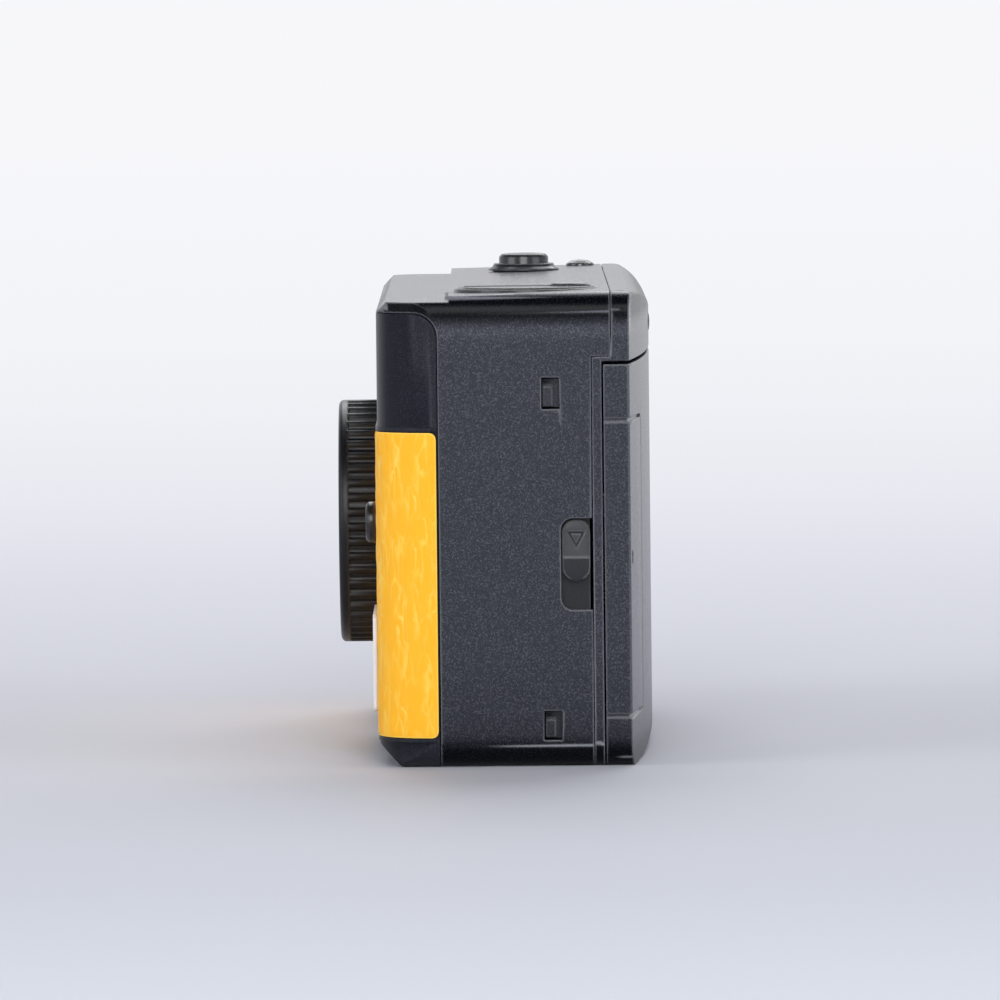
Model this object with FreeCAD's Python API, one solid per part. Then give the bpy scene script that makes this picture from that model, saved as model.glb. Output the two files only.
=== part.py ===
import FreeCAD, Part
import math
import os

# Compact reusable 35 mm film camera with built-in flash, in millimetres.
# Origin: on the underside, below the lens axis, in the film plane. Z is up, the lens looks along -Y,
# and the cartridge end, which is the photographer's left, is at +X.

# Driving sizes of the film path and the cell, which the body is laid out round
GATE_WIDTH = 36.0
GATE_HEIGHT = 24.0
FILM_HEIGHT = 35.0
PERFORATION_PITCH = 4.75
PERFORATION_SPACING = 28.17
CHAMBER_R = 12.9
CHAMBER_WALL = 0.6
CHAMBER_Y = -7.9
CHAMBER_FLOOR_Z = 7.2
CHAMBER_HEIGHT = 45.8
LENS_BELOW_MIDDLE = 0.3
CHASSIS_FLOOR = 1.6
CHASSIS_ROOF = 1.6
MOULDED_WALL = 1.2
GATE_PLATE = 1.8
RAIL_HEIGHT = 0.4
TAKE_UP_Y = -5.2
TAKE_UP_CHAMBER_R = 11.2
SPOOL_R = 5.0
SPOOL_SPACING = 4.25
SPROCKET_TEETH = 8
TOOTH_REACH = 1.2
SPROCKET_ROOM = 0.5
PLATE_HEIGHT = 36.0
PLATE_GAP = 0.3
PLATE_THICKNESS = 1.0
CELL_R = 5.25
CELL_LENGTH = 44.5
CELL_END_ROOM = 1.4
BAY_WALL = 0.8
BAY_TO_CHAMBER = 0.45
BATTERY_PIN_Z = 0.9
END_ROOM = 3.4
TOP_DECK = 8.1

# Driving sizes of the outer form
TOP_RISE = 0.5
FRONT_TOP_DROP = 0.8
FRONT_TO_FILM = 28.0
FILM_TO_REAR_EDGE = 5.6
REAR_BULGE = 3.4
FRONT_CORNER_R = 8.0
END_TOP_R = 3.0
END_BOTTOM_R = 3.5
REAR_TOP_R = 4.5
REAR_BOTTOM_R = 3.3
FRONT_BOTTOM_CHAMFER = 3.0
FRONT_TOP_CHAMFER = 1.4
WALL = 2.0
DOOR_WALL = 1.8

# Where the mouldings part, measured back from the front face
COVER_DEPTH = 8.15
TOP_STEP_DEPTH = 9.7
SEAM_DEPTH = 28.5
DOOR_FRONT_DEPTH = 30.0
UPPER_SEAM_DEPTH = 31.1
LIP_THICKNESS = 1.4
COVER_TOP_R = 3.3
DOOR_BELOW_CHASSIS = 1.0
SEAM = 0.12
GAP = 0.3
RUNNING = 0.05

# Leatherette wrap
WRAP_BOTTOM_Z = 4.0
WRAP_TOP_DROP = 18.1
WRAP_PROUD = 0.25
WRAP_SUNK = 0.25
WRAP_END_GAP = 0.3

# Optics
RING_R = 16.7
RING_REACH = 5.8
RING_BORE_R = 12.4
RIB_COUNT = 50
RIB_HEIGHT = 0.6
RING_BAND = 1.3
BARREL_R = 8.6
LENS_R = 5.6
FRONT_ELEMENT_Y = 2.4
FRONT_ELEMENT_SAGS = (0.7, 0.2)
REAR_ELEMENT_DEPTHS = (2.6, 4.2)
REAR_ELEMENT_SAGS = (0.4, 0.5)
STOP_R = 1.6
SHUTTER_HOLE_R = 3.5

# Controls
WHEEL_R = 13.6
WHEEL_THICKNESS = 2.8
WHEEL_TEETH = 48
COUNTER_R = 5.4
COUNTER_TEETH = 40
BUTTON_Y = -8.0
BUTTON_R = 3.5
BUTTON_TRAVEL = 1.0
COLLAR_RISE = 1.1
BUTTON_RISE = COLLAR_RISE + BUTTON_TRAVEL + 0.4
DISC_R = 8.9
DISC_RISE = 0.5
SLEEVE_LIFT = 5.0
SHAFT_R = 2.0
SLEEVE_R = 3.0
SLEEVE_FLANGE_R = 4.2
LATCH_TRAVEL = 3.6
SWITCH_TRAVEL = 4.0
SWITCH_R = 2.85
HINGE_ROLL_R = 2.0
HINGE_PIN_R = 0.8
SEAL_THICKNESS = 1.6
SEAL_WIDTH = 3.5

# Layout across the body: sprocket and take-up to one side of the gate, cell and cartridge to the other
SPROCKET_R = SPROCKET_TEETH * PERFORATION_PITCH / (2 * math.pi)
SPROCKET_Y = -SPROCKET_R
SPROCKET_WALL_X = -GATE_WIDTH / 2 - 0.05
SPROCKET_ROOM_X = SPROCKET_WALL_X - MOULDED_WALL
SPROCKET_X = SPROCKET_ROOM_X - SPROCKET_ROOM - TOOTH_REACH - SPROCKET_R
TAKE_UP_X = SPROCKET_X - SPROCKET_R - TOOTH_REACH - SPOOL_SPACING - SPOOL_R
BAY_X = (SPROCKET_WALL_X + BAY_WALL, SPROCKET_WALL_X + BAY_WALL + CELL_LENGTH + CELL_END_ROOM)
CHAMBER_X = BAY_X[1] + BAY_TO_CHAMBER + CHAMBER_WALL + CHAMBER_R
CARTRIDGE_END = CHAMBER_X + CHAMBER_R + CHAMBER_WALL
TAKE_UP_END = TAKE_UP_CHAMBER_R + MOULDED_WALL - TAKE_UP_X
HALF = max(CARTRIDGE_END, TAKE_UP_END) + END_ROOM

# Layout in height
CHAMBER_SEAT_Z = CHAMBER_FLOOR_Z - 0.6
CHAMBER_CEILING_Z = CHAMBER_FLOOR_Z + CHAMBER_HEIGHT
CHASSIS_TOP_Z = CHAMBER_CEILING_Z + CHASSIS_ROOF
DOOR_TOP_Z = CHASSIS_TOP_Z - DOOR_BELOW_CHASSIS
BODY_HEIGHT = CHASSIS_TOP_Z + TOP_DECK
LENS_Z = CHAMBER_FLOOR_Z + CHAMBER_HEIGHT / 2 - LENS_BELOW_MIDDLE
FRONT_TOP_Z = BODY_HEIGHT - FRONT_TOP_DROP
PEAK_Z = BODY_HEIGHT + TOP_RISE
COVER_TOP_Z = FRONT_TOP_Z - LIP_THICKNESS
WRAP_TOP_Z = BODY_HEIGHT - WRAP_TOP_DROP
FLOOR_TOP_Z = WALL + CHASSIS_FLOOR

# Layout in depth
FRONT_Y = -FRONT_TO_FILM
COVER_BACK_Y = FRONT_Y + COVER_DEPTH
STEP_Y = FRONT_Y + TOP_STEP_DEPTH
SEAM_Y = FRONT_Y + SEAM_DEPTH
DOOR_Y = FRONT_Y + DOOR_FRONT_DEPTH
UPPER_SEAM_Y = FRONT_Y + UPPER_SEAM_DEPTH
REAR_Y = FILM_TO_REAR_EDGE + REAR_BULGE
REAR_ARC_R = (HALF ** 2 + REAR_BULGE ** 2) / (2 * REAR_BULGE)
GATE_FRONT_Y = -RAIL_HEIGHT - GATE_PLATE
FAR = 200.0


def vec(x, y, z):
    return FreeCAD.Vector(x, y, z)


def on_xy(u, v):
    return vec(u, v, 0)


def on_xz(u, v):
    return vec(u, 0, v)


def on_yz(u, v):
    return vec(0, u, v)


def box(x, y, z):
    """A block between pairs of limits along each axis."""
    block = Part.makeBox(x[1] - x[0], y[1] - y[0], z[1] - z[0])
    block.translate(vec(x[0], y[0], z[0]))
    return block


def post(x, y, z, radius):
    """A cylinder along Z between two heights."""
    return Part.makeCylinder(radius, z[1] - z[0], vec(x, y, z[0]), vec(0, 0, 1))


def barrel(x, z, y, radius):
    """A cylinder along Y between two depths."""
    return Part.makeCylinder(radius, y[1] - y[0], vec(x, y[0], z), vec(0, 1, 0))


def rod(y, z, x, radius):
    """A cylinder along X between two ends."""
    return Part.makeCylinder(radius, x[1] - x[0], vec(x[0], y, z), vec(1, 0, 0))


def outline(plane, start, *steps):
    """A closed wire. A step is a point for a line, or a middle and an end for an arc."""
    here = plane(*start)
    edges = []
    for step in steps:
        if isinstance(step[0], tuple):
            middle = plane(*step[0])
            end = plane(*step[1])
            edges.append(Part.Arc(here, middle, end).toShape())
        else:
            end = plane(*step)
            if here.distanceToPoint(end) < 1e-7:
                continue
            edges.append(Part.LineSegment(here, end).toShape())
        here = end
    if here.distanceToPoint(plane(*start)) > 1e-7:
        edges.append(Part.LineSegment(here, plane(*start)).toShape())
    return Part.Wire(edges)


def extruded(wire, shift, along):
    solid = Part.Face(wire).extrude(along)
    solid.translate(shift)
    return solid


def through_x(wire, x=(-FAR, FAR)):
    return extruded(wire, vec(x[0], 0, 0), vec(x[1] - x[0], 0, 0))


def through_y(wire, y=(-FAR, FAR)):
    return extruded(wire, vec(0, y[0], 0), vec(0, y[1] - y[0], 0))


def through_z(wire, z=(-FAR, FAR)):
    return extruded(wire, vec(0, 0, z[0]), vec(0, 0, z[1] - z[0]))


def rounded(plane, u, v, radius):
    """A rectangle with equal round corners."""
    d = radius * (1 - math.sqrt(0.5))
    return outline(
        plane, (u[0] + radius, v[0]), (u[1] - radius, v[0]),
        ((u[1] - d, v[0] + d), (u[1], v[0] + radius)), (u[1], v[1] - radius),
        ((u[1] - d, v[1] - d), (u[1] - radius, v[1])), (u[0] + radius, v[1]),
        ((u[0] + d, v[1] - d), (u[0], v[1] - radius)), (u[0], v[0] + radius),
        ((u[0] + d, v[0] + d), (u[0] + radius, v[0])))


def toothed(plane, centre, root, tip, count, land=0.4, flank=0.13):
    """A closed outline with trapezium teeth. Land and flank are shares of the pitch."""
    points = []
    step = 2 * math.pi / count
    for i in range(count):
        for radius, place in ((root, 0), (tip, flank), (tip, flank + land), (root, 2 * flank + land)):
            angle = (i + place) * step
            points.append((centre[0] + radius * math.cos(angle), centre[1] + radius * math.sin(angle)))
    return outline(plane, points[0], *points[1:])


def turned_y(x, z, *profile):
    """A solid of revolution about a line along Y, from (depth, radius) points."""
    points = [vec(x + radius, depth, z) for depth, radius in profile]
    wire = Part.makePolygon(points + points[:1])
    return Part.Face(wire).revolve(vec(x, 0, z), vec(0, 1, 0), 360)


def turned_z(x, y, *profile):
    """A solid of revolution about a line along Z, from (height, radius) points."""
    points = [vec(x + radius, y, height) for height, radius in profile]
    wire = Part.makePolygon(points + points[:1])
    return Part.Face(wire).revolve(vec(x, y, 0), vec(0, 0, 1), 360)


def lens_solid(front, back, front_sag, back_sag):
    """A lens along Y: two spherical faces that bulge by their sags, and a ground edge."""
    edge = barrel(0, LENS_Z, (front - front_sag - 1, back + back_sag + 1), LENS_R)
    front_r = (LENS_R ** 2 + front_sag ** 2) / (2 * front_sag)
    back_r = (LENS_R ** 2 + back_sag ** 2) / (2 * back_sag)
    front_ball = Part.makeSphere(front_r, vec(0, front - front_sag + front_r, LENS_Z))
    back_ball = Part.makeSphere(back_r, vec(0, back + back_sag - back_r, LENS_Z))
    return edge.common(front_ball).common(back_ball)


def fuse(*solids):
    return solids[0].multiFuse(list(solids[1:])).removeSplitter()


def minus(solid, *tools):
    return solid.cut(list(tools))


def save(name, *solids):
    shape = solids[0] if len(solids) == 1 else Part.makeCompound(list(solids))
    if len(shape.Solids) < 1 or not shape.isValid():
        print("check", name, len(shape.Solids), shape.isValid())
    shape.exportStep("parts/" + name + ".step")
    print(name, len(shape.Solids), round(shape.Volume, 2))


# Outer form of the whole body, which every outside moulding is cut from
def plan_form(inset):
    half = HALF - inset
    front = FRONT_Y + inset
    radius = max(FRONT_CORNER_R - inset, 0.5)
    d = radius * (1 - math.sqrt(0.5))
    centre = REAR_Y - REAR_ARC_R
    arc = REAR_ARC_R - inset
    back = centre + math.sqrt(arc ** 2 - half ** 2)
    return through_z(outline(
        on_xy, (half, front + radius), (half, back), ((0, centre + arc), (-half, back)),
        (-half, front + radius), ((-half + d, front + d), (-half + radius, front)),
        (half - radius, front), ((half - d, front + d), (half, front + radius))))


def end_form(inset):
    half = HALF - inset
    low = inset
    high = PEAK_Z - inset
    top = max(END_TOP_R - inset, 0.5)
    bottom = max(END_BOTTOM_R - inset, 0.5)
    dt = top * (1 - math.sqrt(0.5))
    db = bottom * (1 - math.sqrt(0.5))
    return through_y(outline(
        on_xz, (-half + bottom, low), (half - bottom, low), ((half - db, low + db), (half, low + bottom)),
        (half, high - top), ((half - dt, high - dt), (half - top, high)), (-half + top, high),
        ((-half + dt, high - dt), (-half, high - top)), (-half, low + bottom),
        ((-half + db, low + db), (-half + bottom, low))))


def side_form(inset):
    front = FRONT_Y + inset
    back = REAR_Y - inset
    low = FRONT_BOTTOM_CHAMFER + inset * (math.sqrt(2) - 1)
    high = FRONT_TOP_CHAMFER + inset * (math.sqrt(2) - 1)
    top = REAR_TOP_R - inset
    bottom = REAR_BOTTOM_R - inset
    dt = top * (1 - math.sqrt(0.5))
    db = bottom * (1 - math.sqrt(0.5))
    peak = PEAK_Z - inset
    return through_x(outline(
        on_yz, (FRONT_Y + low, inset), (front, low), (front, FRONT_TOP_Z - high),
        (FRONT_Y + high, FRONT_TOP_Z - inset), (STEP_Y + inset, FRONT_TOP_Z - inset),
        (STEP_Y + inset, BODY_HEIGHT - inset), (back - top, peak),
        ((back - dt, peak - dt), (back, peak - top)),
        (back, inset + bottom), ((back - db, inset + db), (back - bottom, inset))))


def body_form(inset):
    return plan_form(inset).common(end_form(inset)).common(side_form(inset))


OUTSIDE = body_form(0)
INSIDE = body_form(WALL)
DOOR_INSIDE = body_form(DOOR_WALL)


def top_z(y):
    """Height of the main top at a depth."""
    return BODY_HEIGHT + TOP_RISE * (y - STEP_Y) / (REAR_Y - REAR_TOP_R - STEP_Y)


def rear_surface(x):
    """Depth of the curved back at a place across the body."""
    return REAR_Y - REAR_ARC_R + math.sqrt(REAR_ARC_R ** 2 - x ** 2)


# Zones in side view that share out the body between its mouldings
def cover_zone(gap):
    corner_y = COVER_BACK_Y - gap
    corner_z = COVER_TOP_Z - gap
    d = COVER_TOP_R * (1 - math.sqrt(0.5))
    return through_x(outline(
        on_yz, (FRONT_Y - 5, -5), (FRONT_Y - 5, corner_z), (corner_y - COVER_TOP_R, corner_z),
        ((corner_y - d, corner_z - d), (corner_y, corner_z - COVER_TOP_R)), (corner_y, -5)))


def rear_zone(gap):
    """All that lies behind the seam: up the seam, back along the notch, then up to the top."""
    return through_x(outline(
        on_yz, (SEAM_Y + gap, -5), (SEAM_Y + gap, DOOR_TOP_Z + 1.0 - gap),
        (UPPER_SEAM_Y + gap, DOOR_TOP_Z + 1.0 - gap), (UPPER_SEAM_Y + gap, FAR), (FAR, FAR), (FAR, -5)))


# Lens stack, along Y from the front face
SHUTTER_PLATE_Y = FRONT_Y + 5.5
SHUTTER_PLATE_BACK_Y = SHUTTER_PLATE_Y + 0.8
SHUTTER_PLATE_HALF = 12.0
SHUTTER_PLATE_CORNER_R = 3.0
CHASSIS_FRONT_Y = FRONT_Y + 9.0
BLADE_PIVOT_X = 9.0
BLADE_PIVOT_Z = LENS_Z + 6.5
BLADE_PIN_R = 0.75
SHUTTER_POST_X = 9.5
SHUTTER_POST_Z = 7.5
SHUTTER_POSTS = ((-SHUTTER_POST_X, LENS_Z - SHUTTER_POST_Z), (SHUTTER_POST_X, LENS_Z - SHUTTER_POST_Z),
                 (-SHUTTER_POST_X, LENS_Z + SHUTTER_POST_Z))
FRONT_ELEMENT = (FRONT_Y - FRONT_ELEMENT_Y, FRONT_Y - 0.6)
REAR_ELEMENT = (FRONT_Y + REAR_ELEMENT_DEPTHS[0], FRONT_Y + REAR_ELEMENT_DEPTHS[1])
FRONT_ELEMENT_BEZEL_Y = FRONT_Y - FRONT_ELEMENT_Y - 0.9

# Windows in the front
FLASH_LENGTH = 24.0
FLASH_HEIGHT = 11.0
FLASH_PAST_SPOOL = 6.5
FLASH_UNDER_TOP = 4.2
FLASH_CORNER_R = 1.5
FLASH_RIM = 0.7
FLASH_X = (TAKE_UP_X - FLASH_PAST_SPOOL, TAKE_UP_X - FLASH_PAST_SPOOL + FLASH_LENGTH)
FLASH_Z = (BODY_HEIGHT - FLASH_UNDER_TOP - FLASH_HEIGHT, BODY_HEIGHT - FLASH_UNDER_TOP)
FINDER_X = 4.0
FINDER_HALF = 6.0
FINDER_Z = (BODY_HEIGHT - 11.3, BODY_HEIGHT - 4.8)
EYEPIECE_Z = (BODY_HEIGHT - 6.8, BODY_HEIGHT - 3.7)
EYEPIECE_HALF = 4.2
EYEPIECE_MID_Z = sum(EYEPIECE_Z) / 2
LAMP_X = FINDER_X + 10.0
LAMP_R = 1.5
TUNNEL_WALL = 0.7

# Latch and door catch, at the near end
LATCH_HEIGHT = 8.1
LATCH_TOP_Z = LENS_Z + 3.1
LATCH_Z = (LATCH_TOP_Z - LATCH_HEIGHT, LATCH_TOP_Z)
LATCH_SLOT_Z = (LATCH_Z[0] - LATCH_TRAVEL - GAP, LATCH_Z[1] + 0.2)
LATCH_SLOT_Y = (SEAM_Y - 4.2, SEAM_Y)
LATCH_SLOT_R = 1.6
LATCH_Y = (LATCH_SLOT_Y[0] + 0.22, LATCH_SLOT_Y[1] - GAP)
SIDE_INNER_X = HALF - WALL
CHASSIS_HALF = SIDE_INNER_X - GAP
LATCH_PLATE_X = (SIDE_INNER_X - GAP - 0.7, SIDE_INNER_X - GAP)
LATCH_PLATE_Z = (LATCH_SLOT_Z[0] - 0.5, LATCH_SLOT_Z[1] + LATCH_TRAVEL + 0.4)
CATCH_X = (SIDE_INNER_X - 2.4, SIDE_INNER_X - 1.3)
CATCH_TOOTH_Z = (LATCH_Z[1] - LATCH_TRAVEL + 0.1, LATCH_Z[1])
SPRING_SEAT_Z = LATCH_PLATE_Z[0] - LATCH_TRAVEL - 4.4

# Snap windows in the near end
SNAP_Y = (SEAM_Y - 6.6, SEAM_Y - 4.2)
SNAP_Z = ((3.6, 7.5), (DOOR_TOP_Z - 6.0, DOOR_TOP_Z - 1.8))

# Opening that the rear frame leaves for the film
REAR_OPENING_X = HALF - 2.9
REAR_OPENING_Z = (3.9, DOOR_TOP_Z - 2.0)

# Strap recess in the far end
STRAP_Y = (COVER_BACK_Y + 1.55, COVER_BACK_Y + 6.55)
STRAP_RISE = 8.2
STRAP_HEIGHT = 10.0
STRAP_Z = (LENS_Z + STRAP_RISE, LENS_Z + STRAP_RISE + STRAP_HEIGHT)
STRAP_DEPTH = 4.1
STRAP_BAR_R = 0.9

# Screws that come up through the underside
SCREW_PLACES = ((6.5 - HALF, -15.0), (HALF - 6.5, -17.3),
                (SPROCKET_X + 3.5, -16.0), (CHAMBER_X - 8.6, -16.0))
SCREW_HEAD_R = 1.8
SCREW_R = 0.9
SCREW_WELL = 1.2

# Top controls
BUTTON_X = TAKE_UP_X + 6.5
DISC_Y = CHAMBER_Y
WELL_R = DISC_R + 0.85
WELL_FLOOR_Z = top_z(DISC_Y) - 1.8
WELL_WALL = 1.2
COLLAR_R = 5.0
COLLAR_LIFT = 0.12
FLANGE_R = 4.2
FLANGE_Z = (top_z(BUTTON_Y) - WALL - 0.8, top_z(BUTTON_Y) - WALL - GAP)
BUTTON_SPRING_Z = (FLANGE_Z[0] - 0.5, FLANGE_Z[0] - 0.25)
BUTTON_SPRING_BOSS_X = BUTTON_X + 11.5
WHEEL_Z = (CHASSIS_TOP_Z + 1.1, CHASSIS_TOP_Z + 1.1 + WHEEL_THICKNESS)
COUNTER_SPACING = 7.2
COUNTER_TURN = math.radians(146.3)
STEP_HUB_R = 1.0
COUNTER_X = TAKE_UP_X + COUNTER_SPACING * math.cos(COUNTER_TURN)
COUNTER_Y = TAKE_UP_Y + COUNTER_SPACING * math.sin(COUNTER_TURN)
COUNTER_Z = (WHEEL_Z[1] + 0.8, WHEEL_Z[1] + 1.5)
COUNTER_WINDOW_X = COUNTER_X - 2.6
COUNTER_WINDOW_Y = COUNTER_Y + 1.3
COUNTER_WINDOW_R = 2.0

# Battery bay, lying across the body under the light box
BAY_Y = (FRONT_Y + 9.4, FRONT_Y + 9.4 + 2 * CELL_R + 0.7)
BAY_TOP_Z = WALL + 2 * CELL_R + 1.4
BATTERY_PIN_Y = BAY_Y[1] + 1.4
BATTERY_KNUCKLE_X = ((BAY_X[0] + 3.2, BAY_X[0] + 7.2), (BAY_X[1] - 8.0, BAY_X[1] - 4.0))
FLOOR_FRONT_Y = BAY_Y[0] - MOULDED_WALL
BATTERY_PIN_R = 0.4

# Rewind release in the underside, below the sprocket
RELEASE_R = 2.2
RELEASE_TRAVEL = 0.8
RELEASE_FLANGE_R = 3.0
RELEASE_FLANGE_Z = (WALL + GAP, WALL + GAP + 0.5)
PIVOT_R = 1.5
DRIVE_R = 2.5
SPROCKET_FRONT_ROOM = 1.4
PIVOT_DEPTH = 1.0

# Rewind crank, folded into its disc
CRANK_LENGTH = 11.6
CRANK_PIVOT_Y = DISC_Y - CRANK_LENGTH / 2
CRANK_KNOB_Y = DISC_Y + CRANK_LENGTH / 2
CRANK_KNOB_R = 2.7
CRANK_ARM_HALF = 1.9
CRANK_PIN_R = 0.45
CRANK_PIN_HALF = CRANK_ARM_HALF + 1.5
CRANK_TOP_Z = top_z(DISC_Y) + DISC_RISE
CRANK_UNDER_Z = WELL_FLOOR_Z + 0.4
CRANK_CHANNEL_Z = CRANK_TOP_Z - 1.3
CRANK_ARM_Z = (CRANK_TOP_Z - 1.0, CRANK_TOP_Z - 0.1)
CRANK_PIN_Z = sum(CRANK_ARM_Z) / 2
RIVET_R = 0.8

# Pressure plate behind the film gate
PLATE_X = (SPROCKET_ROOM_X + 0.2, GATE_WIDTH / 2 + 12.0)
PLATE_MID_X = (PLATE_X[0] + PLATE_X[1]) / 2
PLATE_POST_X = 15.0
PLATE_POST_R = 1.5
PLATE_Y = (PLATE_GAP, PLATE_GAP + PLATE_THICKNESS)
PLATE_BACK_Y = PLATE_Y[1] + 0.6

# Back door hinge
HINGE_X = -HALF + HINGE_ROLL_R
HINGE_Y = FILM_TO_REAR_EDGE - HINGE_ROLL_R
LUG_Z = ((9.0, 14.0), (DOOR_TOP_Z - 13.6, DOOR_TOP_Z - 8.6))

# Flash unit
FLASH_BACK_Y = FRONT_Y + 8.0
TUBE_Y = FRONT_Y + 5.6
TUBE_R = 1.3
CAPACITOR_X = TAKE_UP_X + 7.5
CAPACITOR_Z = (12.0, FLASH_Z[0] - 8.2)
CAPACITOR_R = 3.6
BOARD_FROM_GATE = 3.6
BOARD_THICKNESS = 1.4
BOARD_X = (GATE_WIDTH / 2 + BOARD_FROM_GATE, GATE_WIDTH / 2 + BOARD_FROM_GATE + BOARD_THICKNESS)
BOARD_UNDER_FINDER = 6.4
BOARD_TOP_Z = FINDER_Z[0] - BOARD_UNDER_FINDER
BOARD_BACK_Y = -2.6
BOARD_NOTCH_DEPTH = 4.0
BOARD_NOTCH_HEIGHT = 6.0
TRANSFORMER_SIZE = (5.4, 8.0, 9.0)
TRANSFORMER_Z = 20.0

# Small marks and trim
SWITCH_KEEPER_HALF = 2.4
BOARD_TO_SWITCH = 0.6
SWITCH_X = BOARD_X[1] + BOARD_TO_SWITCH + SWITCH_KEEPER_HALF
SWITCH_Z = LENS_Z + 1.2
WHITE_PLATE_LENGTH = 24.0
WHITE_PLATE_FROM_END = 8.5
WHITE_PLATE_X = (HALF - WHITE_PLATE_FROM_END - WHITE_PLATE_LENGTH, HALF - WHITE_PLATE_FROM_END)
WHITE_PLATE_Z = (7.0, 19.9)
WHITE_PLATE_THICKNESS = 0.6
GROOVE_Z = (6.5, DOOR_TOP_Z - 7.3)
GROOVE_REACH = 17.0
GROOVE_WIDTH = 0.5
GROOVE_DEPTH = 0.35
DIMPLE_X = HALF - 2.3
DIMPLE_Z = LENS_Z - 2.1
DIMPLE_R = 0.95


def switch_slot(half):
    """The upright slot that the flash switch slides in."""
    z = (SWITCH_Z - SWITCH_TRAVEL - half - 0.2, SWITCH_Z + half + 0.2)
    return through_y(rounded(on_xz, (SWITCH_X - half, SWITCH_X + half), z, half - 0.1),
                     (FRONT_Y - 5, FRONT_Y + 5))


def front_cover():
    shell = OUTSIDE.common(cover_zone(SEAM))
    hollow = INSIDE.common(box((-FAR, FAR), (-FAR, FAR), (-FAR, COVER_TOP_Z - SEAM - WALL)))
    skin = body_form(0).cut(body_form(WRAP_SUNK))
    recess = skin.common(box((-FAR, FAR), (-FAR, COVER_BACK_Y - WRAP_END_GAP + 0.1),
                             (WRAP_BOTTOM_Z, WRAP_TOP_Z)))
    bead = body_form(-0.2).cut(body_form(0.4))
    beads = [bead.common(box((-FAR, FAR), (-FAR, COVER_BACK_Y - 0.6), z))
             for z in ((WRAP_TOP_Z + 0.1, WRAP_TOP_Z + 0.7), (WRAP_BOTTOM_Z - 0.6, WRAP_BOTTOM_Z - 0.1))]
    ring_seat = barrel(0, LENS_Z, (FRONT_Y - 5, FRONT_Y), RING_R + 0.2)
    beads = [minus(strip, ring_seat) for strip in beads]
    shell = fuse(minus(shell, hollow, recess), *beads)
    inside = FRONT_Y + WALL
    boss_back = FRONT_Y + 4.0
    boss = turned_y(0, LENS_Z, (FRONT_Y, BARREL_R), (FRONT_Y, RING_R - 0.6), (inside, RING_R - 0.6),
                    (inside, BARREL_R + 1.5), (boss_back, BARREL_R + 1.5), (boss_back, BARREL_R))
    bore = barrel(0, LENS_Z, (FRONT_Y - 5, FRONT_Y + 6), BARREL_R)
    flash = through_y(rounded(on_xz, FLASH_X, FLASH_Z, FLASH_CORNER_R), (FRONT_Y - 5, FRONT_Y + 5))
    finder = through_y(rounded(on_xz, (FINDER_X - FINDER_HALF, FINDER_X + FINDER_HALF), FINDER_Z, 1.0),
                       (FRONT_Y - 5, FRONT_Y + 5))
    return minus(fuse(shell, boss), bore, flash, finder, switch_slot(1.3))


def leatherette_wrap():
    skin = body_form(-WRAP_PROUD).cut(body_form(WRAP_SUNK))
    sheet = skin.common(box((-FAR, FAR), (-FAR, COVER_BACK_Y - WRAP_END_GAP), (WRAP_BOTTOM_Z, WRAP_TOP_Z)))
    around_ring = barrel(0, LENS_Z, (FRONT_Y - 5, FRONT_Y + 5), RING_R + 0.2)
    return minus(sheet, around_ring, switch_slot(1.5))


def latch_slot():
    """The slot reaches the seam square and is round on its front corners."""
    y0, y1 = LATCH_SLOT_Y
    z0, z1 = LATCH_SLOT_Z
    r = LATCH_SLOT_R
    d = r * (1 - math.sqrt(0.5))
    return through_x(outline(
        on_yz, (y1 + 1, z0), (y1 + 1, z1), (y0 + r, z1), ((y0 + d, z1 - d), (y0, z1 - r)), (y0, z0 + r),
        ((y0 + d, z0 + d), (y0 + r, z0))), (SIDE_INNER_X - 1, HALF + 1))


def screw_wells():
    wells = []
    for x, y in SCREW_PLACES:
        wells.append(post(x, y, (-1, SCREW_WELL), SCREW_HEAD_R + 0.2))
        wells.append(post(x, y, (-1, WALL + 1), SCREW_R + 0.1))
    return wells


def battery_opening():
    plate = box((BAY_X[0] - 0.2, BAY_X[1] + 0.2), (BAY_Y[0] - 0.1, BAY_Y[1] + GAP), (-1, WALL + 0.5))
    pockets = [box((x[0] - 1.2, x[1] + 1.2), (BAY_Y[1], BATTERY_PIN_Y + 1.3), (-1, WALL + 0.5))
               for x in BATTERY_KNUCKLE_X]
    return [plate] + pockets


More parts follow.
